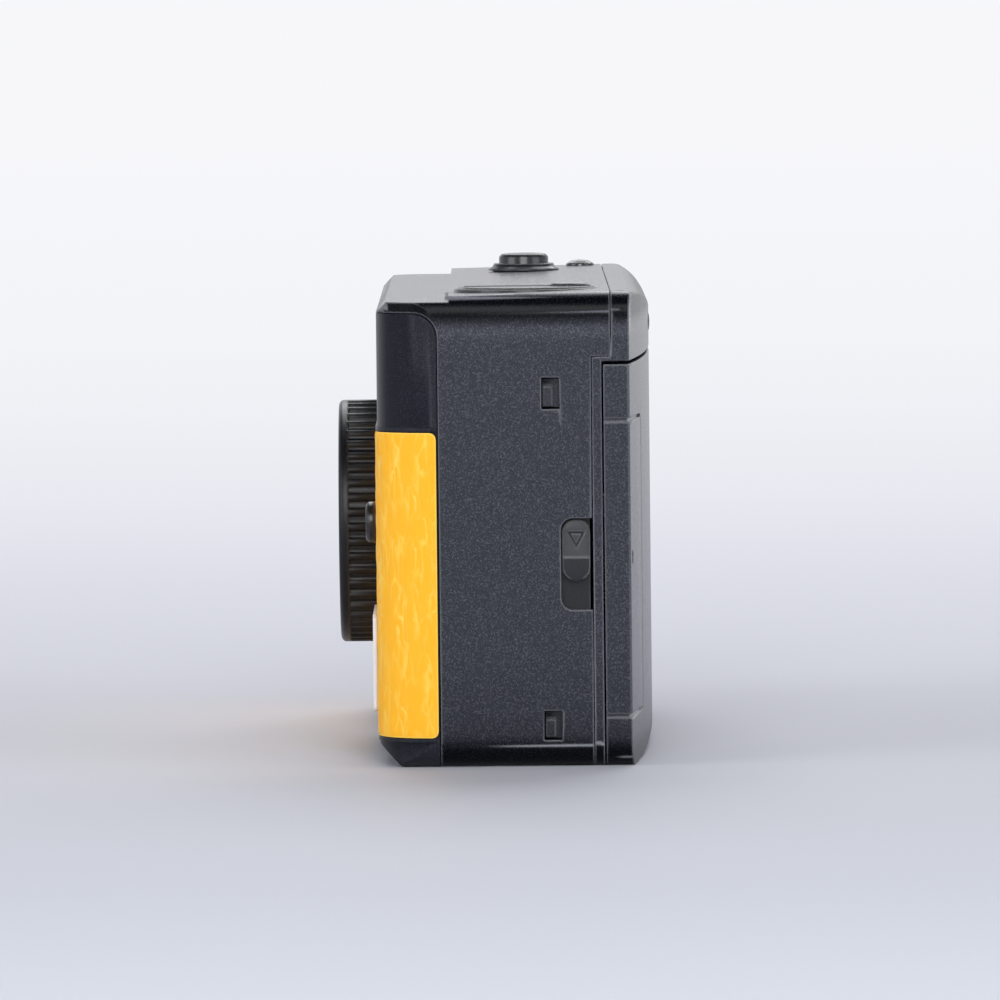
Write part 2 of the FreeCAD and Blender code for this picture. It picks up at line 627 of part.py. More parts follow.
def middle_shell():
    shell = minus(OUTSIDE, cover_zone(0), rear_zone(0))
    hollow = INSIDE.common(box((-FAR, FAR), (COVER_BACK_Y - 1, FAR), (-FAR, FAR)))
    shell = minus(shell, hollow)
    well = post(CHAMBER_X, DISC_Y, (WELL_FLOOR_Z - WELL_WALL, top_z(DISC_Y) - 0.2), WELL_R + WELL_WALL)
    strap_box = box((-HALF + 0.5, -HALF + STRAP_DEPTH + MOULDED_WALL),
                    (STRAP_Y[0] - MOULDED_WALL, STRAP_Y[1] + MOULDED_WALL),
                    (STRAP_Z[0] - MOULDED_WALL, STRAP_Z[1] + MOULDED_WALL))
    counter_pin = post(COUNTER_X, COUNTER_Y, (COUNTER_Z[0], top_z(COUNTER_Y) - WALL / 2), 1.0)
    spring_seat = box((LATCH_PLATE_X[0], SIDE_INNER_X + 0.2), LATCH_Y, (SPRING_SEAT_Z - 1.2, SPRING_SEAT_Z))
    spring_boss = post(BUTTON_SPRING_BOSS_X, BUTTON_Y, (BUTTON_SPRING_Z[1], top_z(BUTTON_Y) - WALL / 2), 1.4)
    shell = fuse(shell, well, strap_box, counter_pin, spring_seat, spring_boss)
    well_hole = post(CHAMBER_X, DISC_Y, (WELL_FLOOR_Z, PEAK_Z + 5), WELL_R)
    sleeve_hole = post(CHAMBER_X, DISC_Y, (WELL_FLOOR_Z - WELL_WALL - 1, PEAK_Z), SLEEVE_R + RUNNING)
    collar_hole = post(BUTTON_X, BUTTON_Y, (top_z(BUTTON_Y) - WALL - 1, PEAK_Z + 1), COLLAR_R - 0.6)
    counter_hole = post(COUNTER_WINDOW_X, COUNTER_WINDOW_Y, (PEAK_Z - WALL - 1, PEAK_Z + 1),
                        COUNTER_WINDOW_R)
    strap_recess = box((-HALF - 1, -HALF + STRAP_DEPTH), STRAP_Y, STRAP_Z)
    bar_hole = post(-HALF + 1.6, sum(STRAP_Y) / 2, (STRAP_Z[0] - 1.0, STRAP_Z[1] + 1.0), STRAP_BAR_R)
    snaps = [box((SIDE_INNER_X - 1, HALF + 1), SNAP_Y, z) for z in SNAP_Z]
    release = post(SPROCKET_X, SPROCKET_Y, (-1, WALL + 1), RELEASE_R + RUNNING)
    return minus(shell, well_hole, sleeve_hole, collar_hole, counter_hole, strap_recess, bar_hole,
                 latch_slot(), release, *snaps, *screw_wells(), *battery_opening())


def groove_band(u, v, radius, width):
    """A narrow frame, for a groove that follows a rounded rectangle on the back."""
    outer = rounded(on_xz, u, v, radius)
    inner = rounded(on_xz, (u[0] + width, u[1] - width), (v[0] + width, v[1] - width), radius - width)
    return minus(through_y(outer, (0, FAR)), through_y(inner, (0, FAR)))


def rear_frame():
    ring = box((-FAR, FAR), (SEAM_Y, DOOR_Y - 0.1), (-FAR, DOOR_TOP_Z + 0.3))
    shelf = box((-FAR, FAR), (SEAM_Y, FAR), (DOOR_TOP_Z + 0.3, FAR))
    zone = OUTSIDE.common(rear_zone(SEAM))
    frame = zone.common(fuse(ring, shelf))
    opening = box((-REAR_OPENING_X, REAR_OPENING_X), (SEAM_Y - 1, DOOR_Y + 1), REAR_OPENING_Z)
    hollow = body_form(DOOR_WALL).common(box((-FAR, FAR), (-FAR, FAR), (DOOR_TOP_Z + 1.5, FAR)))
    frame = minus(frame, opening, hollow)
    lugs = []
    for z in LUG_Z:
        lugs.append(post(HINGE_X, HINGE_Y, z, HINGE_ROLL_R - 0.1))
        lugs.append(box((HINGE_X - 1.9, HINGE_X + 1.9), (SEAM_Y + SEAM, HINGE_Y), z))
    room = post(HINGE_X, HINGE_Y, (-1, DOOR_TOP_Z), HINGE_ROLL_R + GAP)
    arms = []
    for z in SNAP_Z:
        front = SNAP_Y[0] + 0.2
        arms.append(box((SIDE_INNER_X - 1.3, SIDE_INNER_X - 0.1), (front, DOOR_Y - 0.1),
                        (z[0] + 0.2, z[1] - 0.2)))
        arms.append(box((SIDE_INNER_X - 0.2, SIDE_INNER_X + 1.1), (front, SNAP_Y[1] - 0.9),
                        (z[0] + 0.4, z[1] - 1.2)))
    frame = fuse(minus(frame, room), *lugs, *arms)
    pin_hole = post(HINGE_X, HINGE_Y, (0, DOOR_TOP_Z - 1), HINGE_PIN_R)
    wheel_slot = post(TAKE_UP_X, TAKE_UP_Y, (WHEEL_Z[0] - GAP, WHEEL_Z[1] + GAP), WHEEL_R + GAP)
    eyepiece_x = (FINDER_X - EYEPIECE_HALF, FINDER_X + EYEPIECE_HALF)
    eyepiece = through_y(rounded(on_xz, eyepiece_x, EYEPIECE_Z, 0.8), (UPPER_SEAM_Y, FAR))
    lamp = barrel(LAMP_X, EYEPIECE_MID_Z, (UPPER_SEAM_Y, FAR), LAMP_R)
    return minus(frame, pin_hole, wheel_slot, eyepiece, lamp)


def light_cone(inset):
    """The tapering form from the lens to the film gate; the inside comes from an inset."""
    def section(y, half_x, half_z):
        return Part.makePolygon([vec(sx * half_x, y, LENS_Z + sz * half_z)
                                 for sx, sz in ((1, 1), (-1, 1), (-1, -1), (1, -1), (1, 1))])
    grow = MOULDED_WALL - inset
    wide = section(0.1 if inset else -RAIL_HEIGHT, GATE_WIDTH / 2 + grow, GATE_HEIGHT / 2 + grow)
    narrow = section(CHASSIS_FRONT_Y + inset, 6.5 - inset, 6.0 - inset)
    return Part.makeLoft([narrow, wide], True, True)


def gate_block():
    """Room of the gate plate, from the sprocket's room into the cartridge chamber."""
    return box((SPROCKET_ROOM_X, CHAMBER_X), (GATE_FRONT_Y, -RAIL_HEIGHT), (FLOOR_TOP_Z, CHAMBER_CEILING_Z))


def cartridge_form(z):
    return post(CHAMBER_X, CHAMBER_Y, z, CHAMBER_R + CHAMBER_WALL)


def take_up_form(z):
    """Outer form of the wall round the take-up spool and the sprocket."""
    front = SPROCKET_Y - SPROCKET_R - SPROCKET_FRONT_ROOM - MOULDED_WALL
    return fuse(post(TAKE_UP_X, TAKE_UP_Y, z, TAKE_UP_CHAMBER_R + MOULDED_WALL),
                box((TAKE_UP_X, SPROCKET_WALL_X), (front, -RAIL_HEIGHT), z))


def behind_film():
    return box((-FAR, FAR), (-RAIL_HEIGHT, FAR), (-FAR, FAR))


def film_chassis():
    """The gate plate with its film rails, hanging from the roof over the film path."""
    roof = box((-CHASSIS_HALF, CHASSIS_HALF), (CHASSIS_FRONT_Y, 0), (CHAMBER_CEILING_Z, CHASSIS_TOP_Z))
    plate = minus(gate_block(), cartridge_form((0, CHAMBER_CEILING_Z)))
    rails = [box((SPROCKET_ROOM_X, GATE_WIDTH / 2 + 8), (-RAIL_HEIGHT - 0.1, 0.0), (z - 0.6, z + 0.6))
             for side in (-1, 1)
             for z in (LENS_Z + side * (GATE_HEIGHT / 2 + 0.8), LENS_Z + side * (FILM_HEIGHT / 2 + 0.8))]
    z = (CHAMBER_CEILING_Z - 1, CHASSIS_TOP_Z + 1)
    holes = [post(TAKE_UP_X, TAKE_UP_Y, z, DRIVE_R + RUNNING),
             post(SPROCKET_X, SPROCKET_Y, z, PIVOT_R + RUNNING),
             post(CHAMBER_X, CHAMBER_Y, z, SLEEVE_FLANGE_R + GAP)]
    return minus(fuse(roof, plate, *rails).common(end_form(WALL)), light_cone(MOULDED_WALL), *holes)


def chassis_floor():
    """The floor under the film path, with a raised seat for each film chamber."""
    floor = box((-CHASSIS_HALF, CHASSIS_HALF), (FLOOR_FRONT_Y, 0), (WALL, FLOOR_TOP_Z))
    cartridge_seat = minus(cartridge_form((WALL, CHAMBER_SEAT_Z)), behind_film())
    take_up_seat = minus(take_up_form((WALL, CHAMBER_FLOOR_Z)), behind_film(), gate_block())
    body = fuse(floor, cartridge_seat, take_up_seat).common(end_form(WALL))
    hub_room = post(CHAMBER_X, CHAMBER_Y, (CHAMBER_FLOOR_Z - 3, CHAMBER_CEILING_Z), 4.0)
    release_room = post(SPROCKET_X, SPROCKET_Y, (WALL - 1, RELEASE_FLANGE_Z[1] + RELEASE_TRAVEL + GAP),
                        RELEASE_FLANGE_R + 0.4)
    knuckle_room = [box((x[0] - 1.2, x[1] + 1.2), (BAY_Y[1], BATTERY_PIN_Y + 1.3), (0, WALL + 0.9))
                    for x in BATTERY_KNUCKLE_X]
    pivots = [post(TAKE_UP_X, TAKE_UP_Y, (WALL + 2, CHAMBER_FLOOR_Z + 1), PIVOT_R + RUNNING),
              post(SPROCKET_X, SPROCKET_Y, (WALL + 1, CHAMBER_FLOOR_Z + 1), PIVOT_R + RUNNING)]
    screws = [post(x, y, (WALL - 1, FLOOR_TOP_Z + 1), SCREW_R) for x, y in SCREW_PLACES]
    bay_room = box(BAY_X, BAY_Y, (0, BAY_TOP_Z))
    return minus(body, hub_room, release_room, bay_room, *knuckle_room, *pivots, *screws)


def cartridge_chamber_wall():
    """A round wall, open to the back, that the film cartridge drops into."""
    z = (CHAMBER_SEAT_Z, CHAMBER_CEILING_Z)
    return minus(cartridge_form(z), post(CHAMBER_X, CHAMBER_Y, z, CHAMBER_R), behind_film())


def take_up_chamber_wall():
    """One wall round the take-up spool and the sprocket, with a foot for the flash capacitor."""
    z = (CHAMBER_FLOOR_Z, CHAMBER_CEILING_Z)
    foot_half = CAPACITOR_R + 0.9
    foot = box((CAPACITOR_X - foot_half, CAPACITOR_X + foot_half),
               (FRONT_Y + WALL + GAP, TAKE_UP_Y - TAKE_UP_CHAMBER_R + 1.2),
               (CAPACITOR_Z[0] - 1.6, CAPACITOR_Z[0]))
    spool_room = post(TAKE_UP_X, TAKE_UP_Y, z, TAKE_UP_CHAMBER_R)
    sprocket_room = box((TAKE_UP_X, SPROCKET_ROOM_X), (SPROCKET_Y - SPROCKET_R - SPROCKET_FRONT_ROOM, 1), z)
    return minus(fuse(take_up_form(z), foot), spool_room, sprocket_room, behind_film(), gate_block())


def battery_bay_case():
    """A box over the cell, open underneath, that stands on the chassis floor."""
    case = box((SPROCKET_WALL_X, BAY_X[1] + BAY_WALL), (FLOOR_FRONT_Y, BAY_Y[1] + MOULDED_WALL),
               (FLOOR_TOP_Z, BAY_TOP_Z + MOULDED_WALL))
    return minus(case, box(BAY_X, BAY_Y, (0, BAY_TOP_Z)), cartridge_form((0, CHAMBER_CEILING_Z)))


def light_box():
    """The tapering box behind the lens, with the flange and posts that carry the shutter plate."""
    cone = light_cone(0).common(box((-FAR, FAR), (-FAR, GATE_FRONT_Y), (-FAR, FAR)))
    flange_half = SHUTTER_POST_Z + 2.5
    flange = through_y(rounded(on_xz, (-SHUTTER_PLATE_HALF, SHUTTER_PLATE_HALF),
                               (LENS_Z - flange_half, LENS_Z + flange_half), SHUTTER_PLATE_CORNER_R),
                       (CHASSIS_FRONT_Y, CHASSIS_FRONT_Y + MOULDED_WALL))
    posts = [barrel(x, z, (SHUTTER_PLATE_BACK_Y, CHASSIS_FRONT_Y + 0.5), 1.2) for x, z in SHUTTER_POSTS]
    lens_hole = barrel(0, LENS_Z, (CHASSIS_FRONT_Y - 1, CHASSIS_FRONT_Y + 3), 4.2)
    return minus(fuse(cone, flange, *posts), light_cone(MOULDED_WALL), lens_hole)


def lens_ring():
    front = FRONT_Y - RING_REACH
    root = RING_R - RIB_HEIGHT
    body = turned_y(0, LENS_Z, (FRONT_Y, RING_BORE_R), (FRONT_Y, root), (front + RING_BAND, root),
                    (front + RING_BAND, RING_R), (front + 0.6, RING_R), (front + 0.2, RING_R - 0.25),
                    (front, RING_R - 0.8), (front, RING_BORE_R + 0.6), (front + 0.8, RING_BORE_R))
    ribs = through_y(toothed(on_xz, (0, LENS_Z), root - 0.05, RING_R, RIB_COUNT),
                     (front + RING_BAND, FRONT_Y - 0.4))
    ribs = minus(ribs, barrel(0, LENS_Z, (front, FRONT_Y), root - 0.4))
    return fuse(body, ribs)


def lens_bezel():
    """A stepped light baffle that closes the ring around the front element."""
    front = FRONT_Y - RING_REACH + 0.8
    profile = [(front, RING_BORE_R), (front, RING_BORE_R - 0.6)]
    steps = 4
    rise = (FRONT_ELEMENT_BEZEL_Y - front) / steps
    drop = (RING_BORE_R - 0.6 - LENS_R - 0.4) / steps
    for i in range(steps):
        profile.append((front + (i + 1) * rise, RING_BORE_R - 0.6 - i * drop))
        profile.append((front + (i + 1) * rise, RING_BORE_R - 0.6 - (i + 1) * drop))
    back = FRONT_ELEMENT_BEZEL_Y + 0.7
    profile += [(back, LENS_R + 0.4), (back, RING_BORE_R - 2.0),
                (FRONT_Y - 1.2, RING_BORE_R - 2.0), (FRONT_Y - 1.2, RING_BORE_R)]
    return turned_y(0, LENS_Z, *profile)


def lens_barrel():
    front = FRONT_Y - FRONT_ELEMENT_Y - 0.2
    return turned_y(0, LENS_Z, (front, LENS_R), (front, BARREL_R - 0.8), (FRONT_Y - 0.6, BARREL_R - 0.8),
                    (FRONT_Y - 0.6, BARREL_R), (SHUTTER_PLATE_Y, BARREL_R), (SHUTTER_PLATE_Y, LENS_R),
                    (FRONT_Y + 1.2, LENS_R), (FRONT_Y + 1.2, LENS_R - 1.0), (FRONT_Y + 0.4, LENS_R - 1.0),
                    (FRONT_Y + 0.4, LENS_R))


def aperture_plate():
    y = (FRONT_Y + 1.2, FRONT_Y + 1.7)
    return minus(barrel(0, LENS_Z, y, LENS_R), barrel(0, LENS_Z, (y[0] - 1, y[1] + 1), STOP_R))


def shutter_plate():
    x = (-SHUTTER_PLATE_HALF, SHUTTER_PLATE_HALF)
    z = (LENS_Z - SHUTTER_PLATE_HALF + 2, LENS_Z + SHUTTER_PLATE_HALF)
    plate = through_y(rounded(on_xz, x, z, SHUTTER_PLATE_CORNER_R), (SHUTTER_PLATE_Y, SHUTTER_PLATE_BACK_Y))
    pivot = barrel(BLADE_PIVOT_X, BLADE_PIVOT_Z, (SHUTTER_PLATE_Y, SHUTTER_PLATE_BACK_Y + 1.6), BLADE_PIN_R)
    return minus(fuse(plate, pivot), barrel(0, LENS_Z, (FRONT_Y, CHASSIS_FRONT_Y), SHUTTER_HOLE_R))


def shutter_blade():
    """A flat leaf that hangs from its pivot across the lens opening."""
    y = (SHUTTER_PLATE_BACK_Y + GAP, SHUTTER_PLATE_BACK_Y + GAP + 0.3)
    leaf = barrel(0, LENS_Z, y, SHUTTER_HOLE_R + 0.5)
    reach = math.hypot(BLADE_PIVOT_X, BLADE_PIVOT_Z - LENS_Z)
    lean = math.degrees(math.atan2(BLADE_PIVOT_Z - LENS_Z, BLADE_PIVOT_X))
    arm = box((0, reach), y, (-1.1, 1.1))
    arm.rotate(vec(0, 0, 0), vec(0, 1, 0), -lean)
    arm.translate(vec(0, 0, LENS_Z))
    eye = barrel(BLADE_PIVOT_X, BLADE_PIVOT_Z, y, 1.7)
    pin_hole = barrel(BLADE_PIVOT_X, BLADE_PIVOT_Z, (y[0] - 1, y[1] + 1), BLADE_PIN_R + RUNNING)
    return minus(fuse(leaf, arm, eye), pin_hole)


def white_plate():
    y = (FRONT_Y - WRAP_PROUD - WHITE_PLATE_THICKNESS, FRONT_Y - WRAP_PROUD)
    return through_y(rounded(on_xz, WHITE_PLATE_X, WHITE_PLATE_Z, 1.0), y)


def flash_window():
    y = (FRONT_Y, FRONT_Y + WALL + 0.8)
    pane = through_y(rounded(on_xz, FLASH_X, FLASH_Z, FLASH_CORNER_R), (y[0], FRONT_Y + WALL))
    rim_x = (FLASH_X[0] - FLASH_RIM, FLASH_X[1] + FLASH_RIM)
    rim_z = (FLASH_Z[0] - FLASH_RIM, FLASH_Z[1] - 0.3)
    rim = through_y(rounded(on_xz, rim_x, rim_z, FLASH_CORNER_R), (FRONT_Y + WALL, y[1]))
    return fuse(pane, rim)


def flash_reflector():
    """A parabolic trough, open to the front, with closed ends."""
    front = FRONT_Y + WALL + 0.8
    mid_z = sum(FLASH_Z) / 2
    half = (FLASH_Z[1] - FLASH_Z[0]) / 2 - 0.3
    x = (FLASH_X[0] + 0.5, FLASH_X[1] - 0.5)

    def trough(inset, ends):
        low = (front - ends, mid_z - half + inset)
        high = (front - ends, mid_z + half - inset)
        curve = outline(on_yz, low, ((FLASH_BACK_Y - inset, mid_z), high))
        return through_x(curve, (x[0] + inset, x[1] - inset))
    hole = rod(TUBE_Y, mid_z, (x[0] - 1, x[1] + 1), TUBE_R)
    return minus(trough(0, 0), trough(0.6, 0.001), hole)


def flash_tube():
    return rod(TUBE_Y, sum(FLASH_Z) / 2, (FLASH_X[0] + 0.2, FLASH_X[1] - 0.2), TUBE_R)


def flash_capacitor():
    """A round can with a crimped groove near its foot."""
    low, high = CAPACITOR_Z
    wide = CAPACITOR_R
    return turned_z(CAPACITOR_X, FRONT_Y + WALL + wide + 0.5, (low, 0), (low, wide), (low + 1.6, wide),
                    (low + 2.0, wide - 0.3), (low + 2.4, wide), (high - 0.3, wide), (high, wide - 0.4),
                    (high, 0))


def flash_circuit_board():
    y = (FRONT_Y + WALL + 0.4, BOARD_BACK_Y)
    z = (BAY_TOP_Z + MOULDED_WALL, BOARD_TOP_Z)
    notch = box((BOARD_X[0] - 1, BOARD_X[1] + 1), (y[0] - 1, y[0] + BOARD_NOTCH_DEPTH),
                (z[1] - BOARD_NOTCH_HEIGHT, z[1] + 1))
    return minus(box(BOARD_X, y, z), notch)


def flash_transformer():
    """A ferrite core with its winding, on the board."""
    x = (BOARD_X[1], BOARD_X[1] + TRANSFORMER_SIZE[0])
    y = (FRONT_Y + WALL + 2.0, FRONT_Y + WALL + 2.0 + TRANSFORMER_SIZE[1])
    z = (TRANSFORMER_Z, TRANSFORMER_Z + TRANSFORMER_SIZE[2])
    winding = box((x[0] + 0.2, x[1] + 0.5), (y[0] + 1.4, y[1] - 1.4), (z[0] + 1.6, z[1] - 1.6))
    return fuse(box(x, y, z), winding)


def finder_front_lens():
    x = (FINDER_X - FINDER_HALF, FINDER_X + FINDER_HALF)
    return through_y(rounded(on_xz, x, FINDER_Z, 1.0), (FRONT_Y + 0.4, FRONT_Y + WALL))


def finder_tunnel():
    """A square funnel that narrows behind the front lens to the eyepiece's passage."""
    front_box = box((FINDER_X - FINDER_HALF - TUNNEL_WALL, FINDER_X + FINDER_HALF + TUNNEL_WALL),
                    (FRONT_Y + WALL, CHASSIS_FRONT_Y - 0.2), (FINDER_Z[0] - TUNNEL_WALL, FINDER_Z[1] + 0.4))
    front_room = box((FINDER_X - FINDER_HALF, FINDER_X + FINDER_HALF), (FRONT_Y, CHASSIS_FRONT_Y - 0.9),
                     (FINDER_Z[0], FINDER_Z[1] - 0.3))
    back_y = rear_surface(FINDER_X + EYEPIECE_HALF + TUNNEL_WALL) - DOOR_WALL - GAP
    back_box = box((FINDER_X - EYEPIECE_HALF - TUNNEL_WALL, FINDER_X + EYEPIECE_HALF + TUNNEL_WALL),
                   (CHASSIS_FRONT_Y - 0.9, back_y), (DOOR_TOP_Z + 1.5, EYEPIECE_Z[1] + TUNNEL_WALL))
    back_room = box((FINDER_X - EYEPIECE_HALF, FINDER_X + EYEPIECE_HALF), (CHASSIS_FRONT_Y - 2, back_y + 1),
                    (EYEPIECE_Z[0], EYEPIECE_Z[1] - 0.1))
    return minus(fuse(front_box, back_box), front_room, back_room)


def finder_eyepiece():
    x = (FINDER_X - EYEPIECE_HALF, FINDER_X + EYEPIECE_HALF)
    return through_y(rounded(on_xz, x, EYEPIECE_Z, 0.8), (REAR_Y - DOOR_WALL - 0.1, REAR_Y - 0.6))


def ready_lamp():
    front = REAR_Y - DOOR_WALL - 0.4
    back = REAR_Y - 0.4
    return turned_y(LAMP_X, EYEPIECE_MID_Z, (front, 0), (front, LAMP_R), (back, LAMP_R),
                    (back + 0.3, LAMP_R * 0.75), (back + 0.4, LAMP_R * 0.3), (back + 0.4, 0))


def counter_window():
    low = PEAK_Z - WALL - 0.1
    top = top_z(COUNTER_WINDOW_Y)
    return turned_z(COUNTER_WINDOW_X, COUNTER_WINDOW_Y, (low, 0), (low, COUNTER_WINDOW_R),
                    (top + 0.3, COUNTER_WINDOW_R), (top + 0.75, COUNTER_WINDOW_R - 0.8), (top + 0.9, 0))


def counter_disc():
    rim = through_z(toothed(on_xy, (COUNTER_X, COUNTER_Y), COUNTER_R - 0.35, COUNTER_R, COUNTER_TEETH),
                    COUNTER_Z)
    return minus(rim, post(COUNTER_X, COUNTER_Y, (COUNTER_Z[0] - 1, COUNTER_Z[1] + 1), 1.0 + RUNNING))


def battery_contacts():
    mid_y = sum(BAY_Y) / 2
    mid_z = WALL + CELL_R + 0.6
    flat = box((BAY_X[0], BAY_X[0] + 0.4), (mid_y - 4.5, mid_y + 4.5), (mid_z - 4.5, mid_z + 4.5))
    sprung = box((BAY_X[1] - 0.4, BAY_X[1]), (mid_y - 4.5, mid_y + 4.5), (mid_z - 4.5, mid_z + 4.5))
    bump = Part.makeCone(2.6, 1.6, 1.0, vec(BAY_X[1] - 0.4, mid_y, mid_z), vec(-1, 0, 0))
    return [flat, fuse(sprung, bump)]


def battery_door():
    panel = box((BAY_X[0] + 0.1, BAY_X[1] - 0.1), (BAY_Y[0] + 0.2, BAY_Y[1]), (0, 1.6))
    nail = rod(BAY_Y[0] + 2.2, -0.4, (-1, 11), 1.0)
    knuckles = []
    for x in BATTERY_KNUCKLE_X:
        knuckles.append(rod(BATTERY_PIN_Y, BATTERY_PIN_Z, x, 0.9))
        knuckles.append(box(x, (BAY_Y[1] - 0.5, BATTERY_PIN_Y), (0.0, BATTERY_PIN_Z + 0.7)))
    holes = [rod(BATTERY_PIN_Y, BATTERY_PIN_Z, (x[0] - 1, x[1] + 1), BATTERY_PIN_R + RUNNING)
             for x in BATTERY_KNUCKLE_X]
    return minus(fuse(panel, *knuckles), nail, *holes)


def battery_hinge_pins():
    return [rod(BATTERY_PIN_Y, BATTERY_PIN_Z, (x[0] - 1.2, x[1] + 1.2), BATTERY_PIN_R)
            for x in BATTERY_KNUCKLE_X]


def body_screws():
    screws = []
    for x, y in SCREW_PLACES:
        screws.append(turned_z(x, y, (0.3, 0), (0.3, SCREW_HEAD_R - 0.2), (0.5, SCREW_HEAD_R),
                               (SCREW_WELL, SCREW_HEAD_R), (SCREW_WELL, SCREW_R), (FLOOR_TOP_Z, SCREW_R),
                               (FLOOR_TOP_Z, 0)))
    return screws


def rewind_collar():
    """A thin trim ring pressed into the well around the crank disc."""
    top = top_z(DISC_Y)
    bore = DISC_R + 0.35
    return turned_z(CHAMBER_X, DISC_Y, (WELL_FLOOR_Z, bore), (WELL_FLOOR_Z, WELL_R), (top + 0.15, WELL_R),
                    (top + 0.3, WELL_R - 0.15), (top + 0.3, bore))


def rewind_sleeve():
    """A lifting sleeve whose flange stops against the well's floor."""
    low = CHAMBER_CEILING_Z + GAP
    flange = WELL_FLOOR_Z - WELL_WALL - GAP - SLEEVE_LIFT
    bore = SHAFT_R + RUNNING
    high = WELL_FLOOR_Z + 0.1
    return turned_z(CHAMBER_X, DISC_Y, (low, bore), (low, SLEEVE_FLANGE_R), (flange, SLEEVE_FLANGE_R),
                    (flange, SLEEVE_R), (high, SLEEVE_R), (high, bore))


def rewind_shaft():
    """The shaft with its fork, whose blade turns the cartridge's hub."""
    low = CHAMBER_CEILING_Z - 0.8
    head_r = 2.8
    shaft = turned_z(CHAMBER_X, DISC_Y, (low, 0), (low, head_r), (CHAMBER_CEILING_Z, head_r),
                     (CHAMBER_CEILING_Z, SHAFT_R), (CRANK_UNDER_Z, SHAFT_R), (CRANK_UNDER_Z, 0))
    neck = post(CHAMBER_X, DISC_Y, (low - 1.2, low), SHAFT_R)
    tines = [box((x - 0.4, x + 0.4), (DISC_Y - 1.3, DISC_Y + 1.3), (low - 4.0, low - 1.0))
             for x in (CHAMBER_X - 1.2, CHAMBER_X + 1.2)]
    return fuse(shaft, neck, *tines)


def crank_disc():
    """A round disc with a channel for the folded arm, a pocket for its knob and a cross pin."""
    disc = turned_z(CHAMBER_X, DISC_Y, (CRANK_UNDER_Z, 0), (CRANK_UNDER_Z, DISC_R),
                    (CRANK_TOP_Z - 0.25, DISC_R), (CRANK_TOP_Z, DISC_R - 0.25), (CRANK_TOP_Z, 0))
    half = CRANK_ARM_HALF + GAP
    z = (CRANK_CHANNEL_Z, PEAK_Z + 5)
    channel = box((CHAMBER_X - half, CHAMBER_X + half), (CRANK_PIVOT_Y - 2.5, CRANK_KNOB_Y), z)
    pocket = post(CHAMBER_X, CRANK_KNOB_Y, z, CRANK_KNOB_R + 0.4)
    pin_x = (CHAMBER_X - CRANK_PIN_HALF, CHAMBER_X + CRANK_PIN_HALF)
    pin = rod(CRANK_PIVOT_Y, CRANK_PIN_Z, pin_x, CRANK_PIN_R)
    return fuse(minus(disc, channel, pocket), pin)


def crank_arm():
    z0, z1 = CRANK_ARM_Z
    x = (CHAMBER_X - CRANK_ARM_HALF, CHAMBER_X + CRANK_ARM_HALF)
    knob_side = CRANK_KNOB_Y - CRANK_KNOB_R
    bar = box(x, (CRANK_PIVOT_Y, knob_side - 0.4), (z0, z1))
    eye = rod(CRANK_PIVOT_Y, CRANK_PIN_Z, x, (z1 - z0) / 2)
    tongue = box((CHAMBER_X - 1.6, CHAMBER_X + 1.6), (knob_side - 0.6, CRANK_KNOB_Y), (z0, z0 + 0.4))
    seat = post(CHAMBER_X, CRANK_KNOB_Y, (z0, z0 + 0.4), 1.6)
    hole = rod(CRANK_PIVOT_Y, CRANK_PIN_Z, (x[0] - 1, x[1] + 1), CRANK_PIN_R + RUNNING)
    knob_hole = post(CHAMBER_X, CRANK_KNOB_Y, (z0 - 1, z1 + 1), RIVET_R)
    return minus(fuse(bar, eye, tongue, seat), hole, knob_hole)


def crank_knob():
    """A round cap on a rivet through the end of the arm."""
    low = CRANK_ARM_Z[0] - 0.15
    under = CRANK_ARM_Z[0] + 0.5
    top = CRANK_TOP_Z + 0.4
    rivet = RIVET_R - RUNNING
    return turned_z(CHAMBER_X, CRANK_KNOB_Y, (low, 0), (low, rivet), (under, rivet), (under, CRANK_KNOB_R),
                    (top - 0.3, CRANK_KNOB_R), (top, CRANK_KNOB_R - 0.4), (top, 0))


def button_collar():
    top = top_z(BUTTON_Y)
    bore = BUTTON_R + RUNNING
    high = top + COLLAR_RISE
    neck = COLLAR_R - 0.6
    return turned_z(BUTTON_X, BUTTON_Y, (top - WALL, bore), (top - WALL, neck), (top + COLLAR_LIFT, neck),
                    (top + COLLAR_LIFT, COLLAR_R), (high - 0.8, COLLAR_R), (high - 0.4, neck),
                    (high, neck - 0.2), (high, bore))


def shutter_button():
    top = top_z(BUTTON_Y) + BUTTON_RISE
    low, high = FLANGE_Z
    return turned_z(BUTTON_X, BUTTON_Y, (low, 0), (low, FLANGE_R), (high, FLANGE_R), (high, BUTTON_R),
                    (top - 0.5, BUTTON_R), (top - 0.1, BUTTON_R - 0.35), (top, BUTTON_R - 1.0),
                    (top - 0.25, 0))


def button_spring():
    """A flat leaf under the button, held at its far end by a boss in the top."""
    return box((BUTTON_X - 2, BUTTON_SPRING_BOSS_X + 1), (BUTTON_Y - 1.1, BUTTON_Y + 1.1), BUTTON_SPRING_Z)


